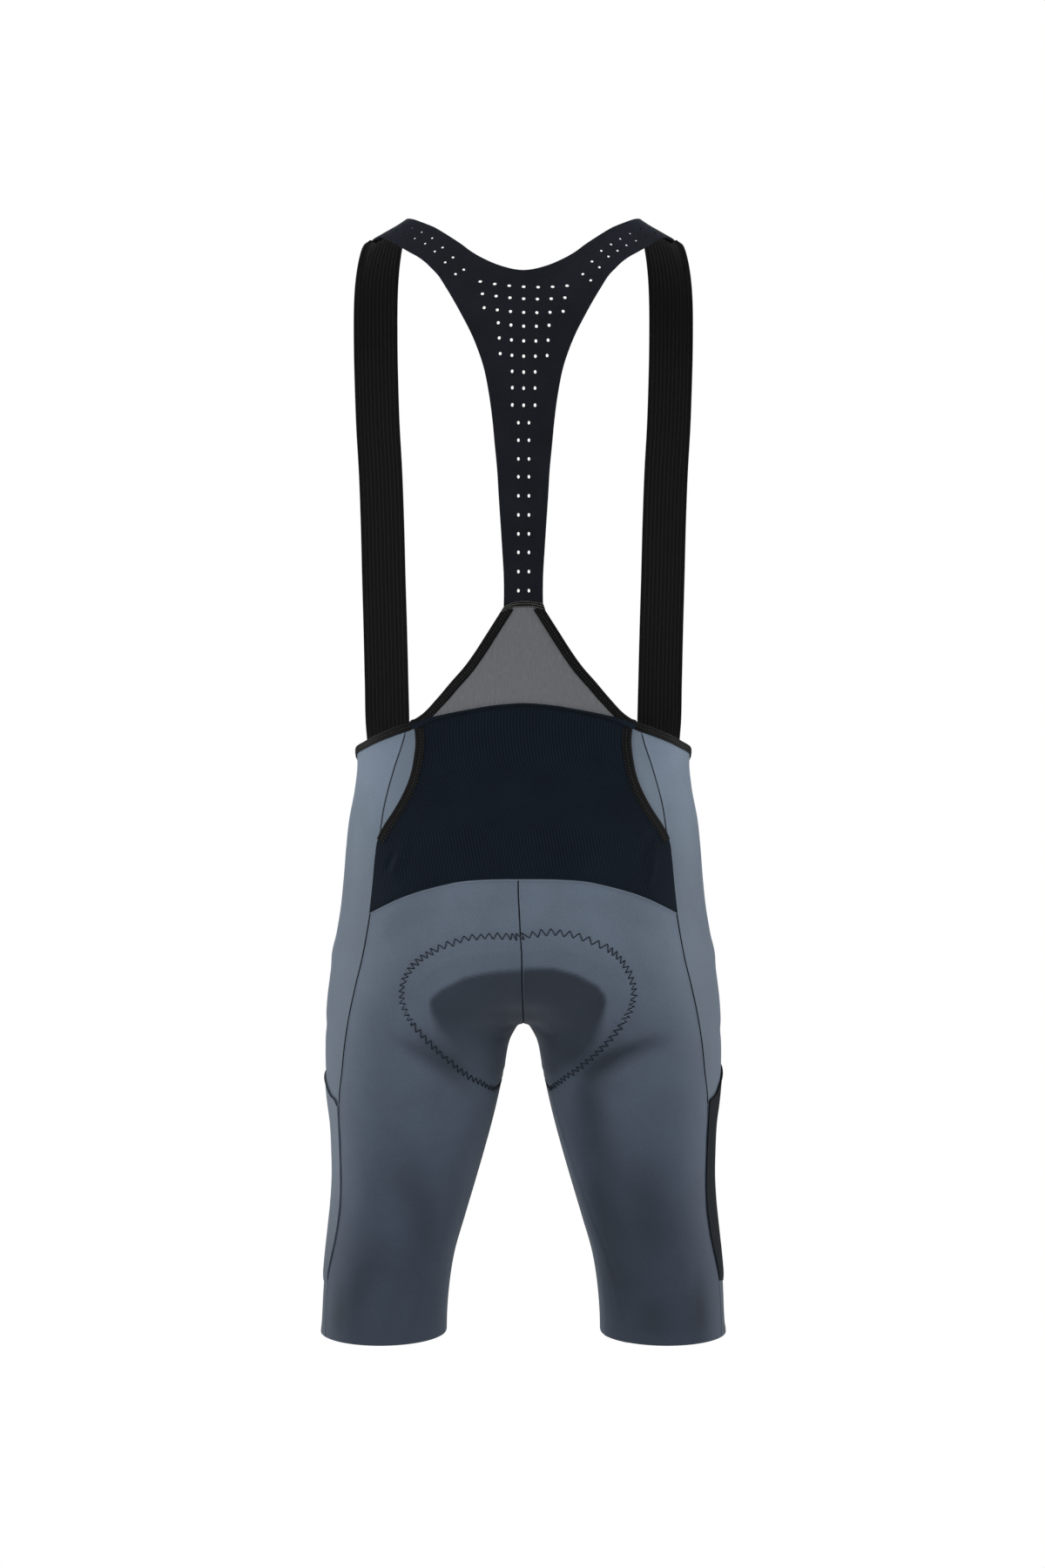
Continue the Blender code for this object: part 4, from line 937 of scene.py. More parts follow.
# %% Leg pockets
LEG_POCKETS = {"left": (leg_pocket_knit, "side_cloth"), "right": (black_knit, "black_pocket_cloth")}
leg_pockets = {}
for word, (knit, slot) in LEG_POCKETS.items():
    points = with_mouth(cloth["leg_pocket"], MOUTHS[word])
    foot = np.zeros(points.shape[:2])
    foot[-4:] = by_row(0.1, 0.3, 0.6, 1.0) * MM
    points = (points - outward(points, (1, 0, 0)) * foot[..., None]) * (SIDES[word], 1, 1)
    leg_pockets[word] = points
    name = "leg_pocket_" + word
    cut_cloth(name + "_cloth", name, points, (SIDES[word], 0, 0), THIN_WALL, knit)

# %% [markdown]
# ## Folded bindings
# A binding is a strip of satin elastic folded over a raw edge and sewn through both layers. Its
# section is one line, from the foot on the outside, over the edge, to the foot on the inside, and
# that line is carried along the edge of the cloth. The two stitch rows press shallow grooves
# into it, so its outer side is slightly wavy.

# %% Binding along an edge
# Satin-faced elastic: smooth black, with a low, even gloss.
satin = grained("black_satin_binding", "#040404", "#0c0c0c", 1400.0, 2.0, 0.4, 0.1, Roughness=0.55,
                Specular_IOR_Level=0.14)
# Grey threads, which show on the black as rows of light dashes.
stitch_thread = thread("grey_polyester_thread", "#55575a", 0.6, 0.35)
tape_thread = thread("light_grey_polyester_thread", "#93948f", 0.6, 0.35)


def framed_edge(line, beside, step):
    """An edge with points so far apart, and the ways out of the cloth and into it, where beside lies."""
    places = np.linspace(0, 1, int(round(steps_of(line).sum() / step)) + 1)
    line, beside = between(line, places), between(beside, places)
    along = np.gradient(line, axis=0)
    away = unit(np.cross(along, beside - line))
    away *= np.sign((away * line * (1, 1, 0)).sum(-1, keepdims=True))
    into = unit(np.cross(away, along))
    return line, away, into * np.sign((into * (beside - line)).sum(-1, keepdims=True))


def fold_section(width, inner):
    """The fold's line, in mm, as (out of the cloth, into the cloth). inner is the cloth's inner face."""
    return np.array([
        (0.72, width - 1.35), (1.12, width - 1.8), (1.22, width - 2.6), (1.32, width * 0.5),
        (1.2, width * 0.36), (1.42, width * 0.2), (1.35, 0.2), (0.95, -0.65), (0.1, -1.1),
        (inner - 0.5, -1.05), (inner - 1.35, -0.5), (inner - 1.75, 0.6), (inner - 1.8, width * 0.45),
        (inner - 1.7, width - 2.0), (inner - 1.3, width - 1.5)])


def bind(node, edge, width, cloth_wall):
    """A folded binding along a framed edge. width is its width all along, or at each point."""
    line, away, into = (part[:, None] for part in edge)
    sections = np.array([fold_section(wide, -cloth_wall) for wide in np.broadcast_to(width, len(line))]) * MM
    points = line + away * sections[..., :1] + into * sections[..., 1:]
    middle = line - away * 0.6 * MM + into * 2.0 * MM
    cut_cloth(node + "_cloth", node, points, points - middle, FOLD_WALL, satin)


def on_binding(edge, out_by, into_by):
    """A line on a binding, by its distances out of and into the cloth in mm."""
    return edge[0] + edge[1] * out_by * MM + edge[2] * into_by * MM


# how far the top edge's binding reaches under the yoke's tail, and the bindings' steps, in mm
TAIL_REACH, EDGE_STEP, OPENING_STEP = 3.6, 4, 3
frames = [framed_edge(line, beside, EDGE_STEP * MM) for line, beside in (
    (cut["mesh"][:, -1], cut["mesh"][:, -2]), cut["side_panel"][:2], cut["front_leg"][:2])]
line, away, into = frames[0]
line[0] += unit(line[0] - line[1]) * TAIL_REACH * MM
for next_line, next_away, next_into in frames[1:]:
    line = np.concatenate([line[:-1], (line[-1:] + next_line[:1]) / 2, next_line[1:]])
    away = np.concatenate([away[:-1], unit(away[-1:] + next_away[:1]), next_away[1:]])
    into = np.concatenate([into[:-1], unit(into[-1:] + next_into[:1]), next_into[1:]])
line[-1, 0] = away[-1, 0] = into[-1, 0] = 0
halves = [line, *(unit(softened(way, 4, closed=False)) for way in (away, into))]
top_edge = [np.concatenate([half, mirrored(half[-2::-1])]) for half in halves]
edge_width = np.interp(top_edge[0][:, 2], np.array((-455, -415)) * MM, (6.8, 8.4))
bind("edge_binding", top_edge, edge_width, 1.2)

OPENING_ROWS = 9
pocket_rows = cut["pocket"][:OPENING_ROWS]
opening = framed_edge(pocket_rows[:, -1], pocket_rows[:, -2], OPENING_STEP * MM)
openings = {word: [part * (side, 1, 1) for part in opening] for word, side in SIDES.items()}
for word, edge in openings.items():
    bind("pocket_binding_" + word, edge, 9.0, 1.0)

# %% [markdown]
# ## Ribbed elastic straps
# Each strap is a knitted elastic, 40 mm wide, with ten soft ribs along it between two plain
# selvedges. It runs from under the yoke at the shoulder, down the front, and into the binding.
# The ribs are modelled, because they are 3.5 mm apart and catch the light one by one.

# %% Strap cloth and straps
# Knitted elastic, dull black: the tops of its ribs get painted light, and the weft's picks roughen them.
elastic, tree, place = new_material("black_ribbed_elastic")
weft = add(tree, "Mapping", Vector=place["UV"], Scale=(900.0, 500.0, 1.0))
picks = add(tree, "TexNoise", Vector=weft, Scale=1.0, Detail=2.0)
painted_rib_light = add(tree, "Attribute", attribute_name="rib").outputs["Fac"]
tone = add(tree, "Math", picks, 0.5, -0.2, operation="MULTIPLY_ADD")
tone = add(tree, "Math", painted_rib_light, 0.9, tone, operation="MULTIPLY_ADD")
colour = add(tree, "Mix", Factor=tone, A="#030303", B="#232324", data_type="RGBA")
relief = add(tree, "Bump", Height=picks, Strength=0.4, Distance=0.15 * MM)
shader = add(tree, "BsdfPrincipled", Base_Color=colour, Roughness=0.75, Specular_IOR_Level=0.18,
             Sheen_Weight=0.06, Normal=relief)
add(tree, "OutputMaterial", Surface=shader)

RIBS = 10
# the plain selvedge's share of the width, and how deep the ribs' valleys are in mm
SELVEDGE, VALLEY_DEPTH = 2.4 / 40, 0.65
strap = finer(cut["strap"][:, ::2], *FINE["strap"])
strap_out = outward(strap, (0, -1, 0.3))
share = np.linspace(0, 1, strap.shape[1])
turn_of_rib = np.clip((share - SELVEDGE) / (1 - 2 * SELVEDGE), 0, 1) * RIBS
valley = 0.5 + 0.5 * np.cos(2 * np.pi * turn_of_rib)
strap = strap - strap_out * (VALLEY_DEPTH * MM * valley ** 3)[None, :, None]
# the ribs' tops get painted light, by the rib attribute
for word, side in SIDES.items():
    cut_cloth("strap_" + word + "_cloth", "strap_" + word, strap * (side, 1, 1),
              strap_out * (side, 1, 1), STRAP_WALL, elastic,
              notes={"rib": np.broadcast_to((1 - valley) ** 2.5, strap.shape[:2])})

# %% [markdown]
# ## The perforated yoke
# The yoke is one cut of microfibre: a narrow tail up the back, which forks to both shoulders and
# folds over them. Its edges are cut raw by laser, and rows of small oval holes are cut through it
# for air. The cloth is laid first, gets its wall, and is then cut by every hole at once.

# %% Yoke cloth
# Brushed microfibre, navy black: a fine nap gives it a dusty, bluish sheen where it turns away.
microfibre, tree, place = new_material("navy_black_microfibre")
nap = add(tree, "TexNoise", Vector=place["Object"], Scale=1100.0, Detail=2.0)
patches = add(tree, "TexNoise", Vector=place["Object"], Scale=30.0, Detail=3.0)
tone = add(tree, "Math", nap, patches, operation="ADD")
tone = add(tree, "MapRange", Value=tone, From_Min=0.7, From_Max=1.3)
colour = add(tree, "Mix", Factor=tone, A="#0f1219", B="#191d27", data_type="RGBA")
relief = add(tree, "Bump", Height=nap, Strength=0.3, Distance=0.1 * MM)
shader = add(tree, "BsdfPrincipled", Base_Color=colour, Roughness=0.7, Specular_IOR_Level=0.15,
             Sheen_Weight=0.12, Sheen_Tint="#8d98ad", Normal=relief)
add(tree, "OutputMaterial", Surface=shader)

TAIL_ROWS, YOKE_STEPS, YOKE_COLUMNS = 12, 8, 33
sheet = outer_sheet("back_yoke", (0, 1, 0.5))
bmesh.ops.delete(sheet, geom=[f for f in sheet.faces if f.calc_center_median().x < 0], context="FACES")
half = in_rows(sheet, ((0, 100.2, -342), (16.5, 99.6, -345), (105, -16.5, -5.4)), 26, 5)
tail, arm = half[:TAIL_ROWS + 1], half[TAIL_ROWS:]
before = 2 * arm[:1] - arm[1:2]
before[0, 0] = mirrored(arm[1, 0])
arm = np.concatenate([before, arm])
arm_steps = steps_of(arm).mean(axis=1)
arm = between(arm, np.linspace(arm_steps[0] / arm_steps.sum(), 1, 13 * YOKE_STEPS + 1))
tail = between(tail, np.linspace(0, 1, 12 * YOKE_STEPS + 1))
yoke = np.concatenate([tail[:-1], arm])
yoke = np.moveaxis(between(np.moveaxis(yoke, 1, 0), np.linspace(0, 1, YOKE_COLUMNS)), 0, 1)
toward_neck = np.linspace(1, 0, YOKE_COLUMNS)[None, :] ** 1.5
high = np.clip((yoke[..., 2] / MM + 95) / 30, 0, 1)
raised = np.interp(np.abs(yoke[..., 0]) / MM, (0, 40, 75, 98, 110), (1.9, 2.2, 3.0, 1.2, 0))
yoke[..., 2] += raised * toward_neck * high * MM
yoke_out = outward(yoke, (0, 1, 0.5))
yoke_out[:TAIL_ROWS * YOKE_STEPS + 1, 0, 0] = 0
yoke_out = unit(yoke_out)

# Both halves are laid, joined on the middle and given their wall.
halves = [lay_cloth("yoke_" + word, yoke * (side, 1, 1), yoke_out * (side, 1, 1), 0, microfibre)
          for word, side in SIDES.items()]
chosen(*halves)
bpy.ops.object.join()
yoke_piece = halves[0]
yoke_piece.name = yoke_piece.data.name = "back_yoke_cloth"
edited((bpy.ops.mesh.remove_doubles, {"threshold": SAME_POINT}))
modified(yoke_piece, "SOLIDIFY", thickness=YOKE_WALL * MM, offset=-1)
print("yoke laid with", len(yoke_piece.data.polygons), "faces")

# %% [markdown]
# The holes stand in even rows. Up on the arms the cloth is pulled along the arm, so the ovals lie
# along it, and down the tail they stand upright. Each row is given by its height, the number of
# holes, their pitch, and the size of the oval. One cutter is modelled and copied to every place.

# %% Hole places
# height in mm, holes, pitch, rise at the left end, oval's width and height
HOLE_ROWS = (
    (-80.2, 7, 12.0, 5.0, 3.5, 2.7), (-90.4, 7, 11.4, 4.6, 3.2, 2.9), (-101.9, 7, 10.9, 4.2, 2.9, 3.0),
    (-113.4, 5, 10.5, 2.9, 2.8, 3.2), (-125.6, 5, 10.1, 2.5, 2.7, 3.2), (-138.2, 5, 9.7, 2.2, 2.6, 3.2),
    (-151.3, 3, 9.5, 0.7, 2.4, 3.4), (-164.6, 3, 9.4, 0.5, 2.4, 3.4), (-178.6, 3, 9.4, 0.3, 2.4, 3.5),
    *[(z, 2, 8.7, 0.0, 2.3, 3.3)
      for z in (-193, -207.4, -222.8, -237.5, -253.2, -268.9, -284.4, -299.6, -315.4, -331.1)])
ROW_MIDDLE = -0.2
# (distance from the middle, height) of the holes along the arms' two lines
ARM_HOLES = {
    "left": ((102.9, -13.0), (94.7, -18.9), (86.1, -25.5), (76.8, -33.0), (67.7, -42.9), (58.8, -52.8),
             (49.6, -64.3), (108.7, -18.0), (100.2, -24.2), (91.9, -30.9), (82.7, -37.5), (74.3, -46.0),
             (65.3, -56.8), (56.5, -67.9)),
    "right": ((108.0, -14.2), (99.6, -19.2), (90.4, -26.2), (81.6, -33.0), (73.6, -39.4), (65.2, -46.2),
              (57.2, -56.6), (49.4, -68.2), (112.6, -19.8), (104.2, -26.0), (95.2, -32.8), (86.8, -38.6),
              (79.0, -44.8), (71.2, -51.0), (63.4, -61.4), (56.0, -73.4)),
}
ARM_OVAL = (3.1, 2.3, 0.85)
# the share of its size that each hole is cut to, and how far the punch reaches, in mm
HOLE_SIZE, PUNCH_REACH = 0.9, 6
HOLE_EDGE_ANGLE = math.radians(40)
# each row rises toward its ends, by rise at the left one and by about a quarter of it at the right
hole_spots = []
for height, count, pitch, rise, wide, tall in HOLE_ROWS:
    reach = pitch * (count - 1) / 2
    for number in range(count):
        x = reach - pitch * number
        lift = rise * (0.64 * (x / reach) ** 2 + 0.36 * x / reach)
        hole_spots.append((x + ROW_MIDDLE, height + lift, wide, tall, 0.4 * rise * x / reach / reach))
for word, side in SIDES.items():
    hole_spots += [(side * x, z, *ARM_OVAL[:2], side * ARM_OVAL[2]) for x, z in ARM_HOLES[word]]
print(len(hole_spots), "holes")


# %% Cut the holes
def shape_of(add_primitive, **settings):
    """The corners and faces of a primitive, which is then taken away."""
    chosen()
    add_primitive(**settings)
    made = bpy.context.object
    shape = np.array([v.co for v in made.data.vertices]), [list(p.vertices) for p in made.data.polygons]
    bpy.data.objects.remove(made, do_unlink=True)
    return shape


def many(name, shape, frames):
    """One mesh of many copies of a shape. frames are (place, three axes as long as the copy is, in mm)."""
    points, faces = shape
    verts, polys = [], []
    for place, axes in frames:
        polys += [[corner + len(verts) for corner in face] for face in faces]
        verts += (points @ np.array(axes) * MM + place).tolist()
    mesh = bpy.data.meshes.new(name)
    mesh.from_pydata(verts, [], polys)
    made = bpy.data.objects.new(name, mesh)
    scene.collection.objects.link(made)
    return made


punch = shape_of(bpy.ops.mesh.primitive_cylinder_add, vertices=14, radius=0.5, depth=1)
yoke_tree = surface_of([yoke, mirrored(yoke)])
frames = []
for x, z, wide, tall, lean in hole_spots:
    (place,), (normal,) = laid_on(yoke_tree, [thrown(yoke_tree, "back", x, z)], (0, 1, 0.4))
    side = unit(np.cross((0, 0, 1), normal))
    up = np.cross(normal, side)
    along = side * math.cos(math.atan(lean)) - up * math.sin(math.atan(lean))
    across = np.cross(normal, along)
    frames.append((place, (along * HOLE_SIZE * wide, across * HOLE_SIZE * tall, normal * PUNCH_REACH)))
cutter = many("hole_punches", punch, frames)
chosen(yoke_piece)
modified(yoke_piece, "BOOLEAN", operation="DIFFERENCE", solver="EXACT", object=cutter)
bpy.data.objects.remove(cutter, do_unlink=True)
bpy.ops.object.shade_smooth_by_angle(angle=HOLE_EDGE_ANGLE)
print("yoke cut through", len(frames), "times, now", len(yoke_piece.data.polygons), "faces")
riding(yoke_piece, "back_yoke")

# %% [markdown]
# ## Seams
# The panels meet in flat seams. Outside, a fine black thread lies in a narrow valley between two
# rolled edges. Inside, a soft tape covers the joint, which also keeps light from passing through
# it. Both are one closed strand, carried along the seam with an oval section.

# %% A strand along a line
# Matt sewing threads. The black one draws the seams, and the slate one is lost in the cloth.
black_thread = thread("black_seam_thread", "#080a0d", specular=0.15)
slate_thread = thread("slate_seam_thread", "#4a5563")
# Dark slate, near enough to the cloth to sink into it.
zigzag_thread = thread("dark_slate_zigzag_thread", "#262d37", specular=0.2)
# A pale strand. Beside the seams and the zigzag, where the cloth's edge is pulled up, it is a painted
# highlight; it also makes the tacks at the hems.
highlight_and_tack_thread = thread("pale_highlight_and_tack", "#8a97aa")
# half the tape's width and thickness, and how deep under the cloth it lies, in mm
TAPE, TAPE_DEPTH = (3.0, 0.28), 1.75
# how thick a strand still is at its two closed ends
END_SIZE = 0.02


def strand(name, line, away, half_width, half_height, material, slot, closed=False, sides=8):
    """A strand of oval section, in mm, along a line. away points out of the cloth at each of its points."""
    size = np.ones((len(line) + closed, 1, 1)) * MM
    if closed:
        line, away = np.concatenate([line, line[:1]]), np.concatenate([away, away[:1]])
    along = unit(np.gradient(line, axis=0))
    if closed:
        along[0] = along[-1] = unit(line[1] - line[-2])
    else:
        size[[0, -1]] *= END_SIZE
    across = unit(np.cross(along, away))
    turn = np.linspace(0, 2 * np.pi, sides + 1)[None, :, None]
    ring = across[:, None] * np.cos(turn) * half_width + away[:, None] * np.sin(turn) * half_height
    points = line[:, None] + ring * size
    return riding(lay_cloth(name, points, points - line[:, None], 0, material, wrapped=True))


def seam(name, line, away, outside, slot, tape=True, rise=0.0):
    """A sewn seam along a line: the thread outside and the tape inside."""
    away = unit(away)
    strand(name + "_thread", line + away * rise * MM, away, 0.45, 0.4, outside, slot)
    if tape:
        strand(name + "_tape", line - away * TAPE_DEPTH * MM, away, *TAPE, slate_thread, slot, sides=6)


def both(*lines):
    """The two sides' words, each with its own copy of some lines."""
    return [(word, *(line * (side, 1, 1) for line in lines)) for word, side in SIDES.items()]


def of_cloth(name, *place):
    """A line of a cloth's points, and the directions out of it."""
    return cloth[name][place].copy(), out[name][place].copy()


# in mm: where the leg pockets start, and where the tack at each hem does
POCKET_MOUTH_HEIGHT, HEM_TACK_HEIGHT = -767, -961
back_edge, back_away = of_cloth("side_panel", slice(None), 0)
front_edge, front_away = of_cloth("side_panel", slice(None), -1)
middle, middle_away = of_cloth("back_leg", slice(None), -1)
front_middle, front_middle_away = of_cloth("front_leg", slice(None), -1)
at_mouth = int((back_edge[:, 2] > POCKET_MOUTH_HEIGHT * MM).sum())
crotch, front_crotch = (int((np.abs(line[:, 0]) < 0.6 * MM).sum()) for line in (middle, front_middle))
middle[:crotch, 0] = middle_away[:crotch, 0] = 0
front_middle[:front_crotch, 0] = front_middle_away[:front_crotch, 0] = 0
print("crotch at row", crotch, "of the back and row", front_crotch, "of the front")

# %% Sew the seams
back_middle, seat_away = leaning(middle[:crotch]), middle_away[:crotch]
seam("back_middle_seam", back_middle, seat_away, black_thread, "seat_cloth")
# a pale strand beside the seam: a painted highlight where its raised edge catches the light
highlight_lip = back_middle - np.array((0.75 * MM, 0, 0)) - seat_away * 0.22 * MM
strand("back_middle_highlight_lip", highlight_lip, seat_away, 0.34, 0.34, highlight_and_tack_thread, "seat_cloth")
seam("front_middle_seam", front_middle[:front_crotch], front_middle_away[:front_crotch], slate_thread,
     "seat_cloth")
for word, line, away in both(back_edge, back_away):
    seam("back_side_seam_" + word, line[2:at_mouth], away[2:at_mouth], black_thread, "side_cloth")
    low_line, low_away = line[at_mouth - 1:-1], away[at_mouth - 1:-1]
    seam("back_side_seam_low_" + word, low_line, low_away, slate_thread, "side_cloth", rise=-0.15)
    tack = np.flatnonzero(line[:, 2] < HEM_TACK_HEIGHT * MM)
    tack_line, tack_away = line[tack] + away[tack] * 0.55 * MM, away[tack]
    strand("hem_tack_" + word, tack_line, tack_away, 0.5, 0.3, highlight_and_tack_thread, "side_cloth")
for word, line, away in both(front_edge[2:-1], front_away[2:-1]):
    seam("front_side_seam_" + word, line, away, slate_thread, "side_cloth")
for word, line, away in both(middle[crotch - 1:-1], unit(middle_away[crotch - 1:-1] - (1, 0, 0))):
    seam("inner_leg_seam_" + word, line, away, slate_thread, "seat_cloth")
# each seat seam, with a pale strand beside it as a painted highlight on the raised edge
for word, line, highlight_lip, away in both(cloth["back_leg"][0], cloth["back_leg"][2], out["back_leg"][0]):
    seam("seat_seam_" + word, line, away, slate_thread, "seat_cloth")
    strand("seat_seam_highlight_lip_" + word, highlight_lip + away * 0.4 * MM, away, 0.4, 0.35, highlight_and_tack_thread, "seat_cloth")
for word, points in leg_pockets.items():
    away = unit(outward(points, (SIDES[word], 0, 0))[0])
    strand("leg_pocket_mouth_" + word, points[0] + away * 0.15 * MM, away, 0.5, 0.42, black_thread,
           LEG_POCKETS[word][1])
line, away = of_cloth("pocket", 0)
seam("pocket_top_seam", line + away * 0.1 * MM, away, black_thread, "pocket_cloth", tape=False)
line, away = of_cloth("mesh", -1)
strand("mesh_seam_tape", line - away * 1.3 * MM, away, *TAPE, black_thread, "pocket_cloth", sides=6)

# %% [markdown]
# The pocket's top edge is turned over the foot of the mesh, as a narrow hem that widens toward its
# two ends. Where the yoke's tail meets the mesh, an arched black tape covers both raw edges.

# %% Pocket hem and tail tape
places = np.linspace(0, 1, 81)
upper = between(cloth["mesh"][-1], places) + np.array((0, 0, 0.9 * MM))
lower = between(shaped["pocket"][0], places) - np.array((0, 0, 1.1 * MM))
lower[:, 2] = np.minimum(lower[:, 2], upper[:, 2] - 1.6 * MM)
hem = np.stack([upper * (1 - v) + lower * v for v in np.linspace(0, 1, 5)])
hem += between(out["pocket"][0], places) * 0.55 * MM
riding(lay_cloth("pocket_top_hem", hem, BACK, 0.5 * MM, pocket_knit))

across = np.linspace(-1, 1, 35)
tape_top = -339.3 - across ** 2 * np.where(across > 0, 5.1, 2.3)
tape_foot = -344.6 - np.clip((np.abs(across) - 0.42) / 0.58, 0, 1) * np.where(across > 0, 4.7, 2.6)
tail_tape = []
for v in np.linspace(0, 1, 9):
    x, z = across * (16.4 + 2.0 * v), tape_top * (1 - v) + tape_foot * v
    y = np.interp(z, (-352, -346, -342, -336), (98.9, 99.6, 100.2, 100.7)) - 0.6 * across ** 2 + 0.8
    over_binding = 1.5 * np.clip((np.abs(x) - 5) / 3, 0, 1) * np.clip((-340.5 - z) / 2, 0, 1)
    tail_tape.append(np.stack([x, y + over_binding, z], -1) * MM)
tail_tape = np.array(tail_tape)
tape_away = outward(tail_tape, BACK)
riding(lay_cloth("tail_tape", tail_tape, BACK, 0.7 * MM, satin))
print("tail tape", [round(size / MM) for size in cloth_size(tail_tape)[:2]], "mm")

# %% [markdown]
# ## The pad's zigzag stitch
# A zigzag stitch gives when the knit stretches. Its teeth are widest apart across the top of the
# seat and closer round the sides, where the cloth was eased in. Beside the dark thread runs a
# fine pale strand, a painted highlight where the pulled cloth stands up and catches the light.

# %% Zigzag round the pad
dice = np.random.default_rng(7)
LEG_PANELS = ("back_leg", "side_panel", "front_leg")
# the shares of a tooth's side at which the thread is laid on the cloth
ALONG_TOOTH = (0.04, 0.35, 0.65, 0.96)
HIP_HEIGHT = -690
THREAD_STEP = 0.5 * MM
skin = surface_of([shaped[name + "_" + word] for name in LEG_PANELS for word in SIDES])
stitched, stitched_away = laid_on(body, even_line(pad_line, THREAD_STEP))
stitched_away = unit(softened(stitched_away, 30))
stitched_along = unit(np.roll(stitched, -3, axis=0) - np.roll(stitched, 3, axis=0))
stitched_across = unit(np.cross(stitched_along, stitched_away))


def tooth(place):
    """The teeth's pitch in steps of the stitch line, and their height and slant in mm."""
    x, y, z = place / MM
    if y < 15:
        return 6.0, 1.9, 0.0
    if abs(x - 2) < 5:
        return 4.0, 3.2, 1.2
    if z > -627:
        return 7.4, 2.8, 0.0
    if z > -648:
        return 5.0, 2.8, 0.9
    if z > HIP_HEIGHT:
        return 5.0, 2.4, 1.0
    return 7.2, 2.4, 1.6


teeth, at, sign = [], 0.0, 1
while at < len(stitched):
    index = int(at)
    pitch, height, slant = tooth(stitched[index])
    height *= 1 + 0.13 * dice.standard_normal()
    ahead = stitched[(index + 2) % len(stitched)] - stitched[index]
    teeth.append(stitched[index] + stitched_across[index] * sign * height * MM + ahead * slant * sign)
    at += pitch * (1 + 0.08 * dice.standard_normal())
    sign = -sign
teeth = np.array(teeth[:len(teeth) - len(teeth) % 2])
corners = np.concatenate([teeth, teeth[:1]])
fine_teeth = np.stack([corners[:-1] * (1 - t) + corners[1:] * t for t in ALONG_TOOTH], 1)
fine_teeth, _ = laid_on(skin, leaning(fine_teeth.reshape(-1, 3)))
teeth_away = unit(laid_on(body, fine_teeth)[1])
zigzag = fine_teeth + teeth_away * 0.28 * MM
strand("pad_zigzag_thread", zigzag, teeth_away, 0.5, 0.34, zigzag_thread, "seat_cloth", closed=True, sides=5)
# a pale strand below the zigzag: a painted highlight on the raised cloth
highlight_lip = fine_teeth - np.array((0, 0, 1.1 * MM)) - teeth_away * 0.05 * MM
below_hips = np.flatnonzero(fine_teeth[:, 2] < HIP_HEIGHT * MM)
for word, part in (("left", slice(0, below_hips[0])), ("right", slice(below_hips[-1] + 1, None))):
    strand("pad_zigzag_highlight_lip_" + word, highlight_lip[part], teeth_away[part], 0.3, 0.3, highlight_and_tack_thread, "seat_cloth",
           sides=5)
print("zigzag of", len(teeth), "turns")

# %% [markdown]
# ## Lockstitches
# The bindings are sewn with two rows of grey thread, the pocket's foot with one of black, and the
# yoke's tail with three rows of tiny zigzags on a dark tape. At this distance each stitch is a
# small dash. One dash is modelled, six-sided, and copied along each row.

# %% Dashes along the rows
dash = shape_of(bpy.ops.mesh.primitive_uv_sphere_add, segments=6, ring_count=4, radius=0.5)


def turned(along, away, angle):
    """Two directions on a cloth at an angle from along, the second across the first."""
    side = unit(np.cross(away, along))
    way = along * math.cos(angle) + side * math.sin(angle)
    return way, np.cross(away, way)


def dashes(name, line, away, pitch, length, width, material=stitch_thread, height=0.45,
           skew=0.0):
    """A row of stitches on a line, sized in mm. skew turns every other one, in degrees."""
    count = max(2, int(steps_of(line).sum() / (pitch * MM)))
    places = between(line, (np.arange(count) + 0.5) / count)
    aways = unit(between(away, (np.arange(count) + 0.5) / count))
    along = unit(np.gradient(places, axis=0))
    frames = []
    for number, (place, out_here, ahead) in enumerate(zip(places, aways, along)):
        way, cross = turned(ahead, out_here, math.radians(skew) * (1 if number % 2 else -1))
        frames.append((place, (way * length, cross * width, out_here * height)))
    made = many(name, dash, frames)
    made.data.shade_smooth()
    made.data.materials.append(material)
    riding(made)


dashes("edge_stitches_middle", on_binding(top_edge, 1.34, 2.6), top_edge[1], 2.6, 1.4, 0.42)
dashes("edge_stitches_foot", on_binding(top_edge, 1.2, 4.9), top_edge[1], 2.6, 1.2, 0.36)
for word, edge in openings.items():
    dashes("pocket_stitches_middle_" + word, on_binding(edge, 1.36, 4.4), edge[1], 2.6, 1.3, 0.36)
    dashes("pocket_stitches_foot_" + word, on_binding(edge, 1.15, 7.2), edge[1], 2.6, 1.1, 0.3)
for number, row in enumerate((1, 4, 7), start=1):
    on_tape = tail_tape[row] + tape_away[row] * 0.1 * MM
    dashes("tail_tape_stitches_" + str(number), on_tape, tape_away[row], 1.3, 1.1, 0.45, tape_thread,
           height=0.35, skew=38)
foot_line, foot_away = shaped["pocket"][-4], out["pocket"][-4]
dashes("pocket_foot_stitches", foot_line + foot_away * 0.05 * MM, foot_away, 3.0, 1.6, 0.4, black_thread)
print("rows of stitches on the bindings, the tape and the pocket's foot")

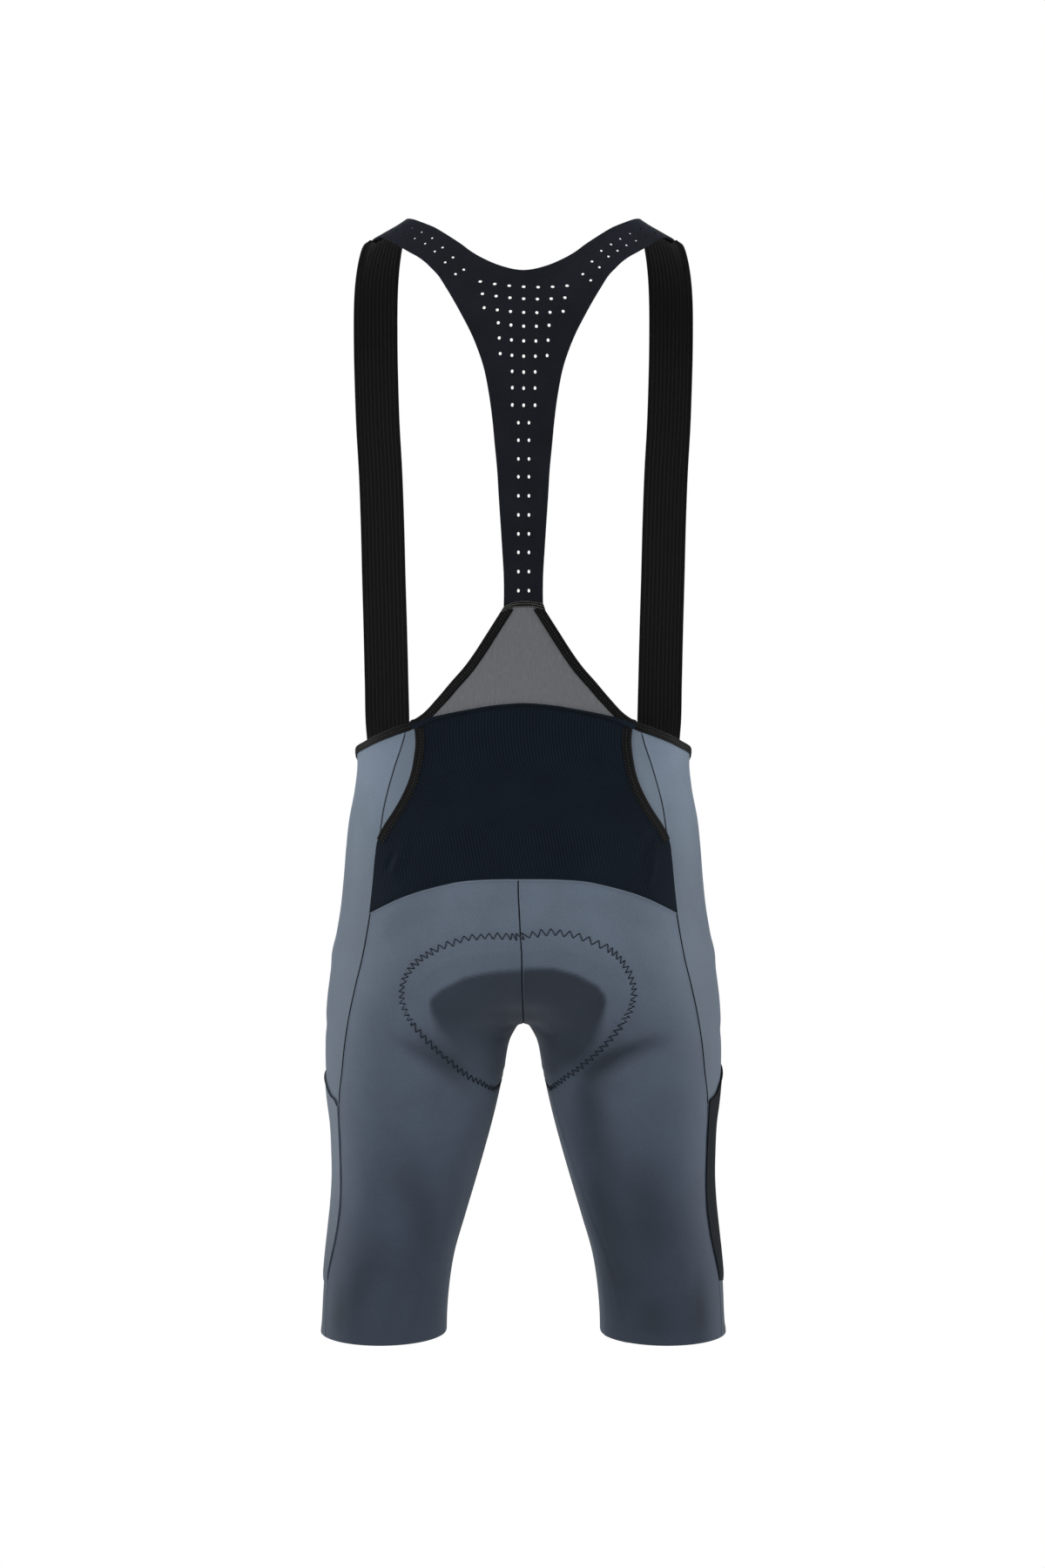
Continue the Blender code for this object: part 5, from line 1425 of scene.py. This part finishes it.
# %% [markdown]
# ## The seat pad
# The pad is a soft cushion of foam under brushed microfibre, thickest where the sit bones rest,
# with a sewn rim and moulded channels between its cushions. Its outer face lies against the
# shorts and its inner face swells towards the body, so both are read from the frame and the
# channels are pressed into the inner one before the two are closed round the rim.

# %% Chamois pad
# Brushed microfibre over foam: dark, soft and matt.
microfleece = grained("dark_brushed_microfibre", "#1d2025", "#32363d", 700.0, 3.0, 0.5, 0.2, Roughness=0.85,
                      Specular_IOR_Level=0.25, Sheen_Weight=0.25)
corners = ((-42, 112, -617), (42, 112, -617), (-34, -92, -642))
inner_face = finer(in_rows(outer_sheet("chamois_pad", (0, -0.3, 1)), corners, 15, 13), *FINE["pad"])
inner_face = eased_out(arched(inner_face, ARCHES["pad"]), pad_moves)
outer_face = cloth["pad"]
creases = FOLDS["back_leg"]["left"][:1] + FOLDS["back_leg"]["right"][:1]
pressed = out["pad"] * stroked(outer_face, body, "back", creases)[..., None]
outer_face, inner_face = outer_face + pressed, inner_face + pressed
thickness = np.linalg.norm(inner_face - outer_face, axis=2) / MM
u, v = flat_lengths(outer_face)
from_middle, down = np.abs(u - u[:, -1:] / 2) / MM, v / MM
channel = 0.9 * bell(from_middle, 3.2)
channel += 0.7 * bell(from_middle - 26 - 0.08 * np.abs(down - 190), 2.6) * (down > 70)
channel += 0.6 * bell(down - 150 - 0.016 * from_middle ** 2, 3.0)
channel += 0.5 * bell(down - 290 + 0.01 * from_middle ** 2, 3.0)
depth = np.clip(thickness - 3.0, 0, 4) * 0.62
inner_face = inner_face - unit(inner_face - outer_face) * (channel.clip(0, 1) * depth * MM)[..., None]
skin = np.concatenate([outer_face, inner_face[:, ::-1], outer_face[:, :1]], axis=1)
front_tip, back_tip = (end * 0.02 + end.mean(axis=1, keepdims=True) * 0.98 for end in (skin[:1], skin[-1:]))
skin = np.concatenate([front_tip, skin, back_tip])
pad_piece = lay_cloth("chamois_pad_cushion", skin, (0, 0, -1), 0, microfleece, wrapped=True)
edited((bpy.ops.mesh.normals_make_consistent, {"inside": False}))
riding(pad_piece, "chamois_pad")
print("pad between", round(thickness.min(), 1), "and", round(thickness.max(), 1), "mm thick")

# %% Finish
bpy.context.view_layer.update()
